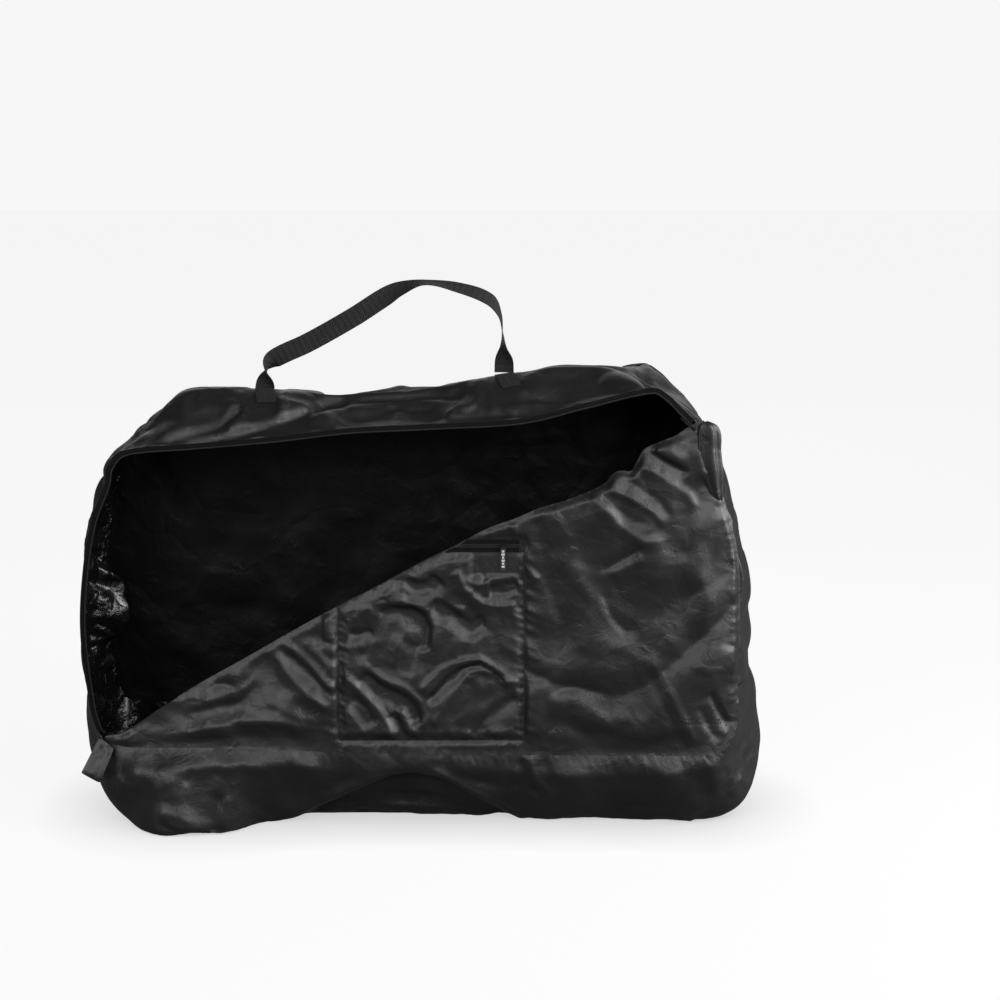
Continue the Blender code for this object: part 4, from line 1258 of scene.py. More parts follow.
def refine(obj: Object) -> None:
    """Subdivide a sheet smoothly while its border keeps its line.

    Args:
        obj: The piece.
    """
    creases = obj.data.attributes.new("crease_edge", "FLOAT", "EDGE")
    builder = bmesh.new()
    builder.from_mesh(obj.data)
    creases.data.foreach_set("value", [float(edge.is_boundary) for edge in builder.edges])
    builder.free()
    modifier = obj.modifiers.new("Refine", "SUBSURF")
    modifier.levels = modifier.render_levels = 1
    bake(obj)


def thicken(obj: Object, outer: Material, inner: Material, thickness: float = 0.0007) -> None:
    """Give a sheet its thickness, with another material on its inner face.

    Args:
        obj: The piece.
        outer: The outer face's material.
        inner: The inner face's material.
        thickness: The thickness.
    """
    obj.data.materials.clear()
    obj.data.materials.append(outer)
    obj.data.materials.append(inner)
    modifier = obj.modifiers.new("Thickness", "SOLIDIFY")
    modifier.thickness = thickness
    modifier.offset = -1.0
    modifier.material_offset = 1
    modifier.use_quality_normals = True
    bake(obj)


@dataclass(frozen=True)
class Drape:
    """How a piece of cloth is settled by simulation."""

    slack: float = 0.03
    frames: int = 24
    gravity: float = 0.25
    tension: float = 30.0
    bending: float = 3.0
    start: float = 0.003
    seed: int = 1

    def settle(self, obj: Object, held: Array) -> None:
        """Simulate the cloth with some vertices held, and keep the result.

        Args:
            obj: The sheet.
            held: How firmly each vertex is held, from 0 to 1.
        """
        mesh = obj.data
        points = read_points(mesh)
        normals = read_normals(mesh)
        uv = read_uv(mesh)
        wave = Ripples(self.seed, 0.10, 0.45, 24).at(uv[:, 0], uv[:, 1])
        points += normals * (wave * self.start * (1.0 - held))[:, None]
        write_points(mesh, points)
        group = obj.vertex_groups.new(name="held")
        for level in np.unique(np.round(held, 2)):
            if level > 0.0:
                chosen = np.flatnonzero(np.round(held, 2) == level)
                group.add(chosen.tolist(), float(level), "REPLACE")
        modifier = obj.modifiers.new("Settle", "CLOTH")
        cloth = modifier.settings
        cloth.quality = 5
        cloth.mass = 0.05
        cloth.tension_stiffness = cloth.compression_stiffness = self.tension
        cloth.shear_stiffness = self.tension / 2
        cloth.bending_stiffness = self.bending
        cloth.air_damping = 2.0
        cloth.vertex_group_mass = "held"
        cloth.shrink_min = -self.slack
        cloth.shrink_max = -self.slack
        cloth.effector_weights.gravity = self.gravity
        modifier.collision_settings.use_collision = False
        modifier.point_cache.frame_start = 1
        modifier.point_cache.frame_end = self.frames
        scene = bpy.context.scene
        for number in range(1, self.frames + 1):
            scene.frame_set(number)
        bake(obj)
        scene.frame_set(1)
        obj.vertex_groups.clear()


def sew_down(obj: Object, body: Body, slot: Slot, nodes: Sequence[str]) -> None:
    """Let a finished piece ride on its body and hide the nodes it stands for.

    Args:
        obj: The piece.
        body: The body.
        slot: The slot; not used.
        nodes: The CAD nodes.
    """
    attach(obj, body.value)
    if nodes:
        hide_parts(*nodes)
    LOG.info("%s rides on %s", obj.name, body.value)


# Shapes shared by the pieces


def ruled_sheet(name: str, grid: Array) -> Object:
    """Make a sheet through a grid of points.

    Args:
        name: The piece's name.
        grid: Points by row and column, in space.

    Returns:
        The sheet's object, with its flat lengths as UV coordinates.
    """
    rows, columns = grid.shape[:2]
    along = np.linalg.norm(np.diff(grid, axis=1), axis=2).mean(0)
    down = np.linalg.norm(np.diff(grid, axis=0), axis=2)
    u = np.broadcast_to(np.concatenate([[0.0], np.cumsum(along)]), (rows, columns))
    v = np.vstack([np.zeros(columns), np.cumsum(down, axis=0)])
    builder = bmesh.new()
    bmesh.ops.create_grid(builder, x_segments=columns - 1, y_segments=rows - 1, size=1.0)
    obj = new_object(name, builder)
    shares = (read_points(obj.data)[:, :2] + 1.0) / 2.0
    i = np.rint(shares[:, 0] * (columns - 1)).astype(int)
    j = np.rint(shares[:, 1] * (rows - 1)).astype(int)
    write_points(obj.data, grid[j, i])
    set_uv(obj.data, np.stack([u[j, i], v[j, i]], axis=1))
    return obj


def read_uv(mesh: Mesh) -> Array:
    """Return each vertex's flat cloth coordinates.

    Args:
        mesh: The mesh.

    Returns:
        One row for each vertex.
    """
    flat = np.empty(len(mesh.loops) * 2)
    mesh.uv_layers[UV_NAME].data.foreach_get("uv", flat)
    corners = np.empty(len(mesh.loops), dtype=np.int64)
    mesh.loops.foreach_get("vertex_index", corners)
    uv = np.zeros((len(mesh.vertices), 2))
    uv[corners] = flat.reshape(-1, 2)
    return uv


def path_reading(points: Array, path: Array) -> Tuple[Array, Array]:
    """Return how far points lie from a flat path, and how far along it.

    Args:
        points: Flat points.
        path: The path's points.

    Returns:
        The two distances.
    """
    best, share, distance = nearest(points, path)
    knots = walked(path)
    return distance, knots[best] + share * np.diff(knots)[best]


def pucker(distance: Array, along: Array, height: float, reach: float, seed: int) -> Array:
    """Return the small gathers that a line of stitching pulls into cloth.

    Args:
        distance: How far each point lies from the stitching.
        along: How far along the stitching it lies.
        height: The gathers' height in metres.
        reach: How far from the stitching they die out.
        seed: Which gathers.

    Returns:
        The shift of each point.
    """
    gathers = Ripples(seed, 0.010, 0.035, 14).at(along + distance * 0.35, distance * 0.12)
    rise = ramp(0.0, 0.004, distance) * np.exp(-((distance / reach) ** 2))
    return gathers * rise * height


def shift_along_normals(obj: Object, amount: Array) -> None:
    """Move a sheet's vertices along its normals."""
    points = read_points(obj.data)
    write_points(obj.data, points + read_normals(obj.data) * amount[:, None])


def joined(name: str, parts: Sequence[Object]) -> Object:
    """Join several meshes into one piece.

    Args:
        name: Its name.
        parts: The meshes, which are removed.

    Returns:
        The piece.
    """
    builder = bmesh.new()
    for part in parts:
        builder.from_mesh(part.data)
        bpy.data.objects.remove(part)
    return new_object(name, builder)


def stitches(
    name: str, path: Array, thread: Material, pitch: float = 0.0045, width: float = 0.0007,
) -> Object:
    """Make a row of stitches along a path in space.

    Args:
        name: The row's name.
        path: Points that the row runs through.
        thread: The thread's material.
        pitch: The distance from one stitch to the next.
        width: The thread's width.

    Returns:
        The row's object.
    """
    knots = walked(path)
    starts = np.arange(0.0, knots[-1] - pitch, pitch)
    builder = bmesh.new()
    ends = [np.stack([np.interp(starts + shift, knots, path[:, axis]) for axis in range(3)], axis=1)
            for shift in (0.0, pitch * 0.68)]
    for start, end in zip(*ends):
        heading = Vector(end - start)
        if heading.length < 1e-6:
            continue
        turn = heading.to_track_quat("X", "Z").to_matrix().to_4x4()
        size = Matrix.Diagonal((heading.length, width, width, 1.0))
        bmesh.ops.create_cube(builder, size=1.0, matrix=Matrix.Translation((start + end) / 2) @ turn @ size)
    obj = new_object(name, builder, smooth=False)
    obj.data.materials.append(thread)
    obj.data.uv_layers.new(name=UV_NAME)
    return obj


# Rings across the gusset's depth, from the front seam to the back seam
RING_COUNT = 12.0
GUSSET_EDGE_Y = 0.1499
GUSSET_INNER_Y = 0.1431
FLOOR_HALF_DEPTH = 0.11
FOOT_TABLE = ((-0.70, 0.16, 0.050), (0.80, 0.10, 0.008))
FOOT_REACH = 0.100
# The folds that fall in at the left end: ridge, half width, depth, and the small folds' height
INNER_RIDGE, INNER_HALF, INNER_DEPTH, INNER_FOLDS = 0.060, 0.062, 0.066, 0.009
# How far the cloth between the feet is drawn in
ARCH_DEPTH = 0.034
# The lowest height of the cloth over the floor
FLOOR_GAP = 0.0008
# Where the webbing is sewn to the roof, as x
HANDLE_FEET = (-0.310, 0.162)


def gusset_grid(places: Array, rings: Array, power: Union[float, Array], on_floor: bool) -> Array:
    """Return the points of a gusset strip.

    Args:
        places: Distances round the bag.
        rings: Positions across the depth, from 0 at the front seam to RING_COUNT at the back.
        power: How the strip bends across its depth, also by place: 1 is a tent, 2 is round.
        on_floor: Whether the strip lies on the floor.

    Returns:
        Points by ring and place.
    """
    rows = OUTLINE.read(places)
    mirrored = np.minimum(rings, RING_COUNT - rings)
    sign = np.where(rings <= RING_COUNT / 2, -1.0, 1.0)
    depth = np.where(
        mirrored < 1.0,
        GUSSET_EDGE_Y + (GUSSET_INNER_Y - GUSSET_EDGE_Y) * mirrored,
        GUSSET_INNER_Y * (1 - (mirrored - 1) / 5),
    )
    share = np.minimum(1.0, depth / GUSSET_INNER_Y)[:, None] ** (np.zeros(len(places)) + power)[None]
    depth = np.repeat(depth[:, None], len(places), axis=1)
    if on_floor:
        lie = ramp(0.0, 1.0, 1.0 - rows[:, 3] / rows[:, 1])[None]
        angle = math.pi / 2 * np.minimum(mirrored, 5.0)[:, None] / 5
        middle_x = rows[:, 2]
        foot = np.exp(-(((middle_x + 0.455) / 0.125) ** 4))
        half_depth = FLOOR_HALF_DEPTH + FOOT_REACH * foot[None] * (sign[:, None] < 0)
        bulge = np.full(len(places), 0.006)
        for centre, spread, size in FOOT_TABLE:
            bulge += size * np.exp(-(((middle_x - centre * HALF_WIDTH) / (spread * HALF_WIDTH)) ** 2))
        bulge = bulge[None] * np.clip(1.0 - (half_depth - FLOOR_HALF_DEPTH) / 0.13, 0.2, 1.0)
        floor_depth = half_depth + (GUSSET_EDGE_Y - half_depth) * np.cos(angle) ** (1.0 + 3.0 * foot[None])
        floor_depth += bulge * np.sin(2 * angle)
        inward = np.clip(6.0 - mirrored, 0.0, 1.0)[:, None]
        floor_depth = np.where(mirrored[:, None] > 5.0, half_depth * inward, floor_depth)
        floor_share = 1.0 - np.sin(angle)
        depth = depth + (floor_depth - depth) * lie
        share = share + (floor_share - share) * lie
    x = rows[:, 2] + (rows[:, 0] - rows[:, 2]) * share
    z = rows[:, 3] + (rows[:, 1] - rows[:, 3]) * share
    return np.stack([x, depth * sign[:, None], z], axis=-1)


# The ring round the bag


@dataclass
class Gusset:
    """One strip of the gusset ring, settled as cloth and creased."""

    name: str
    corner: int
    finishes: Finishes
    power: float = 2.0
    on_floor: bool = False
    rows: int = 37
    step: float = 0.0085
    relief: Tuple[Crease, ...] = ()
    drape: Drape = field(default_factory=Drape)
    pucker_height: float = 0.0007
    crumple: float = 0.0026
    gain: float = 1.0

    def build(self) -> None:
        """Make the strip, settle it, crease it and sew it down."""
        places = OUTLINE.between(OUTLINE.corners[self.corner], OUTLINE.corners[self.corner + 1], self.step)
        rings = np.linspace(0.0, RING_COUNT, self.rows)
        from_end = np.minimum(places - places[0], places[-1] - places)
        power = 2.0 + (self.power - 2.0) * ramp(0.0, 0.12, from_end)
        grid = gusset_grid(places, rings, power, self.on_floor)
        obj = ruled_sheet(self.name, grid)
        length = float(read_uv(obj.data)[:, 0].max())
        start = read_points(obj.data)
        self.drape.settle(obj, self.held(obj))
        if self.on_floor:
            across_seam = read_uv(obj.data)[:, 1]
            loose = ramp(0.0, 0.06, np.minimum(across_seam, across_seam.max() - across_seam))[:, None]
            write_points(obj.data, start + (read_points(obj.data) - start) * loose)
        refine(obj)
        self.crease(obj)
        # The inside faces take the inside cloths, whose dark colours are partly painted shade.
        inside = self.finishes.glossy if self.name in ("left_gusset", "base_gusset") else self.finishes.inner
        thicken(obj, self.finishes.outer, inside)
        sew_down(obj, Body.BAG, Slot.NYLON, (self.name,))
        width = float(read_uv(obj.data)[:, 1].max())

    def held(self, obj: Object) -> Array:
        """Return how firmly each vertex is held: seams, ends, floor, ridge and webbing.

        Args:
            obj: The piece.

        Returns:
            One share from 0 to 1 for each vertex.
        """
        points = read_points(obj.data)
        held = border_mask(obj.data).astype(float)
        if self.on_floor:
            held = np.maximum(held, (points[:, 2] < 0.002).astype(float))
        else:
            held = np.maximum(held, (np.abs(points[:, 1]) < 0.003).astype(float))
        return np.maximum(held, (self.webbing_zone(points) > 0.5).astype(float))

    @staticmethod
    def webbing_zone(points: Array) -> Array:
        """Return 1 where webbing is sewn to the roof, fading to 0 about it.

        Args:
            points: Points in space.

        Returns:
            One value for each point.
        """
        zone = np.zeros(len(points))
        for x in HANDLE_FEET:
            beside = ramp(0.045, 0.024, np.abs(points[:, 0] - x))
            zone += beside * ramp(0.10, 0.07, np.abs(points[:, 1] + 0.02)) * (points[:, 2] > 0.5)
        return np.minimum(zone, 1.0)

    def crease(self, obj: Object) -> None:
        """Add the creases seen in the front half, and their mirror in the back half.

        Args:
            obj: The piece.
        """
        points = read_points(obj.data)
        front = points.copy()
        front[:, 1] = -np.abs(points[:, 1])
        uv = read_uv(obj.data)
        seam_distance = np.minimum(np.abs(GUSSET_EDGE_Y - np.abs(points[:, 1])), 0.2)
        if self.on_floor:
            seam_distance = np.minimum(uv[:, 1], uv[:, 1].max() - uv[:, 1])
        amount = Relief(self.relief, self.gain, self.gain).at(front) if self.relief else np.zeros(len(points))
        amount += pucker(seam_distance, uv[:, 0], self.pucker_height, 0.020, 40 + self.corner)
        facets = Crumple(60 + self.corner, 0.06, 0.22).at(uv[:, 0], uv[:, 1])
        amount += facets * self.crumple * ramp(0.0, 0.04, seam_distance)
        amount *= ramp(0.0, 0.008, seam_distance) * (1.0 - self.webbing_zone(points))
        amount *= ramp(0.0, 0.02, np.minimum(uv[:, 0], uv[:, 0].max() - uv[:, 0]))
        if not self.on_floor:
            amount *= 0.25 + 0.75 * ramp(0.0, 0.03, np.abs(points[:, 1]))
        if self.name == "left_gusset":
            amount += self.inner_bulge(points)
        shift_along_normals(obj, amount)
        points = read_points(obj.data)
        if self.on_floor:
            spread = Panels.shape(points) * Panels.low_zone(points) * ramp(0.06, 0.0, seam_distance)
            points[:, 1] -= np.where(points[:, 1] < 0, seam_roll(front) + spread, 0.0)
            inward = np.sign(-points[:, 1]) * ramp(0.04, 0.10, np.abs(points[:, 1]))
            points[:, 1] += self.arch(front) * inward * ramp(0.0, 0.03, seam_distance)
            points[:, 1] = np.clip(points[:, 1], -DEPTH_LIMIT, DEPTH_LIMIT)
        points[:, 2] = np.maximum(points[:, 2], FLOOR_GAP)
        write_points(obj.data, points)

    @staticmethod
    def inner_bulge(points: Array) -> Array:
        """Return the folds of the left end that fall into the bag.

        Args:
            points: Points in space.

        Returns:
            One value for each point.
        """
        y, z = points[:, 1], points[:, 2]
        ridge = INNER_RIDGE + 0.10 * (0.42 - z)
        body = np.maximum(1.0 - np.sqrt(((y - ridge) / INNER_HALF) ** 2 + 0.004), 0.0) ** 1.4
        body *= ramp(0.265, 0.36, z) * ramp(0.56, 0.44, z)
        folds = Crumple(71, 0.035, 0.10, 12, 0.99).at(y, z) * INNER_FOLDS
        folds *= ramp(-0.02, 0.03, y) * ramp(0.145, 0.12, y) * ramp(0.265, 0.31, z) * ramp(0.60, 0.48, z)
        return folds - INNER_DEPTH * body

    def arch(self, front: Array) -> Array:
        """Return how far the cloth is drawn in under the arch between the two feet.

        Args:
            front: The points, mirrored to the front half.

        Returns:
            One value for each point.
        """
        seen = VIEW.project(front)
        arch = np.array(ARCH_MARKS)
        line = np.interp(seen[:, 0], arch[:, 0], arch[:, 1])
        below = ramp(-1.0, 12.0, seen[:, 1] - line)
        left, right = arch[0, 0], arch[-1, 0]
        return ARCH_DEPTH * below * ramp(left, left + 30, seen[:, 0]) * ramp(right, right - 24, seen[:, 0])


ARCH_MARKS = (
    (236, 829), (255, 824), (290, 815), (325, 800), (360, 783), (390, 770), (412, 766), (440, 771),
    (462, 783), (490, 798), (515, 812), (534, 824),
)


# Where the pocket's slider and the main slider lie, (x, z)
SLIDER_PLACES = ((0.160, 0.560), (0.507, 0.818))
# How far the front rises from its right seam, and how far it stands out as a whole
SIDE_RISE, FRONT_LIFT = 0.019, 0.0060


@dataclass
class Panels:
    """The front below the fold, and the back."""

    finishes: Finishes
    cell: float = 0.008
    slack: float = 0.018

    def front_polygon(self) -> Array:
        """Return the outline of the front below its fold.

        Returns:
            One (x, z) row for each point.
        """
        fold = FOLD_EDGE.points(0.008)
        whole = OUTLINE.whole(0.008)
        points = OUTLINE.seam(whole)
        first = int(np.linalg.norm(points - fold[-1], axis=1).argmin())
        last = int(np.linalg.norm(points - fold[0], axis=1).argmin())
        count = (last - first) % len(points)
        around = points[(first + np.arange(1, count)) % len(points)]
        return np.vstack([fold, around])

    def build_front(self) -> None:
        """Make the front panel."""
        polygon = self.front_polygon()
        cell = ((POCKET_RIGHT - POCKET_LEFT) / 46, self.cell)
        obj = trimmed_sheet("front_panel", polygon, FRONT_Y - 0.0002, cell, (POCKET_LEFT, POCKET_BOTTOM))
        held = border_mask(obj.data).astype(float)
        Drape(slack=self.slack, seed=3).settle(obj, held)
        refine(obj)
        points = read_points(obj.data)
        distance = -(points[:, 1] - FRONT_Y)
        out = np.sqrt(distance**2 + 0.0015**2) - 0.0015
        calm = self.calm(points)
        flat = points.copy()
        flat[:, 1] = FRONT_Y
        edge, along = path_reading(points[:, (0, 2)], closed(polygon))
        near = ramp(0.0, 0.012, edge)
        low = self.low_zone(points)
        out *= np.where(low > 0, 1.0 - low * ramp(0.06, 0.0, edge), 1.0)
        total = out * 0.8 * calm + pucker(edge, along, 0.0010, 0.020, 11) * calm * near * (1.0 - low)
        total += self.shape(points) * np.maximum(near, low)
        points[:, 1] = FRONT_Y - 0.0002 - np.maximum(total, 0.0) - seam_roll(flat)
        write_points(obj.data, points)
        thicken(obj, self.finishes.outer, self.finishes.inner)
        sew_down(obj, Body.BAG, Slot.NYLON, ("front_panel",))

    @staticmethod
    def low_zone(points: Array) -> Array:
        """Return 1 along the lower seam, where the cloth rolls over it, fading to 0 at its ends."""
        along = ramp(-0.60, -0.52, points[:, 0]) * ramp(0.655, 0.60, points[:, 0])
        return along * (points[:, 2] < 0.26)

    @staticmethod
    def shape(points: Array) -> Array:
        """Return how far the front stands out of its plane, also a little below its lower seam.

        Args:
            points: Points in space.

        Returns:
            One value for each point.
        """
        flat = points.copy()
        flat[:, 1] = FRONT_Y
        amount = Relief(FRONT_CREASES).at(flat) + Panels.pocket_gather(points)
        amount += Crumple(380, 0.07, 0.26).at(points[:, 0], points[:, 2]) * 0.0026
        amount = np.where(amount < 0, amount * 0.95, amount * 1.1) + FRONT_LIFT
        return np.maximum(amount + Panels.side_slope(points), 0.0) * Panels.calm(points)

    @staticmethod
    def side_slope(points: Array) -> Array:
        """Return the rise of the cloth from the right seam to the crease beside it.

        Args:
            points: Points in space.

        Returns:
            One value for each point.
        """
        right = OUTLINE.seam(OUTLINE.between(OUTLINE.corners[3], OUTLINE.corners[4], 0.01))
        reach = np.interp(points[:, 2], right[::-1, 1], right[::-1, 0]) - points[:, 0]
        bend = 0.070 + 0.030 * ramp(0.45, 0.62, points[:, 2])
        short = reach / bend
        rise = (short + 1.0 - np.sqrt((short - 1.0) ** 2 + 0.006)) / 2.0
        middle = ramp(0.22, 0.34, points[:, 2]) * ramp(0.74, 0.62, points[:, 2])
        return SIDE_RISE * np.clip(rise, 0.0, 1.0) * ramp(0.42, 0.14, reach) * (0.25 + 0.75 * middle)

    @staticmethod
    def calm(points: Array) -> Array:
        """Return how much a point may move: little near the zips' sliders and under the pocket.

        Args:
            points: Points in space.

        Returns:
            One value for each point.
        """
        slider, upper = (np.hypot(points[:, 0] - x, points[:, 2] - z) for x, z in SLIDER_PLACES)
        zip_line = np.abs(points[:, 2] - POCKET_ZIP_Z) + np.maximum(points[:, 0] - POCKET_RIGHT, 0.0) * 2
        calm = ramp(0.014, 0.05, slider) * ramp(0.014, 0.045, upper)
        calm *= 0.25 + 0.75 * ramp(0.010, 0.028, zip_line)
        inside = (
            ramp(POCKET_LEFT - 0.01, POCKET_LEFT + 0.006, points[:, 0])
            * ramp(POCKET_RIGHT + 0.01, POCKET_RIGHT - 0.006, points[:, 0])
            * ramp(POCKET_BOTTOM - 0.01, POCKET_BOTTOM + 0.006, points[:, 2])
            * ramp(POCKET_ZIP_Z + 0.02, POCKET_ZIP_Z, points[:, 2])
        )
        return calm * (1.0 - inside)

    @staticmethod
    def pocket_gather(points: Array) -> Array:
        """Return the gathers that the pocket's stitching pulls into the front.

        Args:
            points: Points in space.

        Returns:
            One value for each point.
        """
        left, right, low = POCKET_LEFT, POCKET_RIGHT, POCKET_BOTTOM
        path = np.array([(left, 0.45), (left, low), (right, low), (right, 0.58)])
        distance, along = path_reading(points[:, (0, 2)], path)
        return pucker(distance, along, 0.0009, 0.022, 12)

    def build_corner_roll(self) -> None:
        """Make the roll of the front's cloth that stands up at the zip's upper end."""
        marks = (
            (722, 520), (716, 494), (711, 470), (709, 448), (708.5, 436), (708, 428), (707.5, 423),
            (707, 420.5),
        )
        halves = np.array((1.0, 6.0, 10.5, 11.0, 11.0, 9.5, 6.5, 0.6)) * MARK_SIZE
        centre = VIEW.on_plane(marks)
        knots = walked(centre)
        where = np.linspace(0.0, knots[-1] - 1e-6, 40)
        line = smooth_read(knots, np.column_stack([centre, halves]), where)
        sunk = 0.020 * ramp(0.055, 0.0, where)
        rows = []
        for turn in np.radians(np.linspace(115, -115, 41)):
            half = line[:, 2] * (1.0 + 0.13 * math.sin(5.0 * turn + 0.6))
            half *= 1.0 + 0.04 * np.sin(where * 70.0 + turn)
            y = FRONT_Y - 0.0055 - half * 0.62 * math.cos(turn) + sunk
            rows.append(np.stack([line[:, 0] + half * math.sin(turn), y, line[:, 1]], axis=1))
        obj = ruled_sheet("front_corner_roll", np.array(rows))
        refine(obj)
        thicken(obj, self.finishes.outer, self.finishes.inner)
        sew_down(obj, Body.BAG, Slot.NYLON, ())

    def build_back(self) -> None:
        """Make the back panel."""
        polygon = OUTLINE.seam(OUTLINE.whole(0.004), -0.0008)
        obj = trimmed_sheet("back_panel", polygon, SEAM_Y, (0.011, 0.011))
        held = border_mask(obj.data).astype(float)
        Drape(slack=0.012, seed=8).settle(obj, held)
        refine(obj)
        points = read_points(obj.data)
        edge, along = path_reading(points[:, (0, 2)], polygon[::3])
        x, z = points[:, 0], points[:, 2]
        points[:, 1] += pucker(np.maximum(edge - 0.006, 0.0), along, 0.0030, 0.020, 21)
        points[:, 1] += Ripples(22, 0.05, 0.4, 20).at(x, z) * 0.003 * ramp(0.0, 0.08, edge)
        points[:, 1] = SEAM_Y + 0.22 * (points[:, 1] - SEAM_Y)
        points[:, 1] += Crumple(165, 0.10, 0.34).at(x, z) * 0.0036 * ramp(0.0, 0.03, edge)
        write_points(obj.data, points)
        thicken(obj, self.finishes.inner, self.finishes.outer)
        sew_down(obj, Body.BAG, Slot.NYLON, ("back_panel",))
        size = polygon.max(0) - polygon.min(0)


def across(name: str, edges: Sequence[Array], columns: int = 3) -> Object:
    """Make a narrow strip between two lines of points, the first line on its left as walked."""
    shares = np.linspace(0.0, 1.0, columns)[:, None, None]
    return ruled_sheet(name, edges[0][None] * (1 - shares) + edges[1][None] * shares)


def on_front(flat: Array, y: float) -> Array:
    """Return flat (x, z) points at a depth."""
    return np.stack([flat[:, 0], np.full(len(flat), y), flat[:, 1]], axis=1)


def strip_piece(
    name: str, edges: Sequence[Array], finish: Material, thickness: float, columns: int = 4,
    centred: bool = False,
) -> Object:
    """Make a narrow strip with thickness in one finish.

    Args:
        name: The piece's name.
        edges: Its two long edges.
        finish: Its material.
        thickness: Its thickness.
        columns: Points across it.
        centred: Whether it is thickened to both sides of its edges.

    Returns:
        The strip's object.
    """
    obj = across(name, edges, columns)
    obj.data.materials.append(finish)
    modifier = obj.modifiers.new("Thickness", "SOLIDIFY")
    modifier.thickness = thickness
    modifier.offset = 0.0 if centred else -1.0
    bake(obj)
    return obj


@dataclass(frozen=True)
class Pleat:
    """One pleat of the folded flap, and where its cloth hangs at rest."""

    number: int
    body: Body
    name: str

    @property
    def low(self) -> float:
        """Return the height above the fold where the pleat starts, with the flap closed."""
        return PLEAT_LENGTH * self.number

    def hang(self, along: Array, above: Array, out: Array) -> Array:
        """Return points at rest.

        Args:
            along: Distances along the fold.
            above: Heights above the fold with the flap closed.
            out: Distances out of the closed flap.

        Returns:
            Points in space.
        """
        rest = (-above, above - 2 * PLEAT_LENGTH, 2 * PLEAT_LENGTH - above)[self.number]
        sign = -1.0 if self.number == 1 else 1.0
        y = PLEAT_DEPTHS[self.number] + sign * out
        flat = unfold(along, rest)
        return np.stack([flat[:, 0], y, flat[:, 1]], axis=1)


PLEATS = (
    Pleat(0, Body.FLAP_LOWER, "flap_lower"),
    Pleat(1, Body.FLAP_MIDDLE, "flap_middle"),
    Pleat(2, Body.FLAP_TIP, "flap_tip"),
)


class Rim:
    """The open rim of the bag, by distance round it."""

    def __init__(self) -> None:
        """Read the rim at a fine step."""
        self.places = OUTLINE.between(OUTLINE.corners[1] - 0.12, OUTLINE.corners[3] + 0.12, 0.004)
        self.height = fold_frame(OUTLINE.seam(self.places, 0.005))[:, 1]
        self.apex = int(self.height.argmax())

    def open_places(self, low: float = 0.0085) -> Array:
        """Return the places that lie above the fold by at least a height."""
        return self.places[self.height > low]

    def side(self, inset: float, heights: Array, right: bool) -> Array:
        """Return how far along the fold a rim line lies at given heights above it.

        Args:
            inset: How far inward.
            heights: Distances above the fold line.
            right: Whether the line is the one on the right.

        Returns:
            One value for each point.
        """
        line = fold_frame(OUTLINE.seam(self.places, inset))
        apex = int(line[:, 1].argmax())
        part = line[apex:][::-1] if right else line[: apex + 1]
        return np.interp(heights, np.maximum.accumulate(part[:, 1]), part[:, 0])


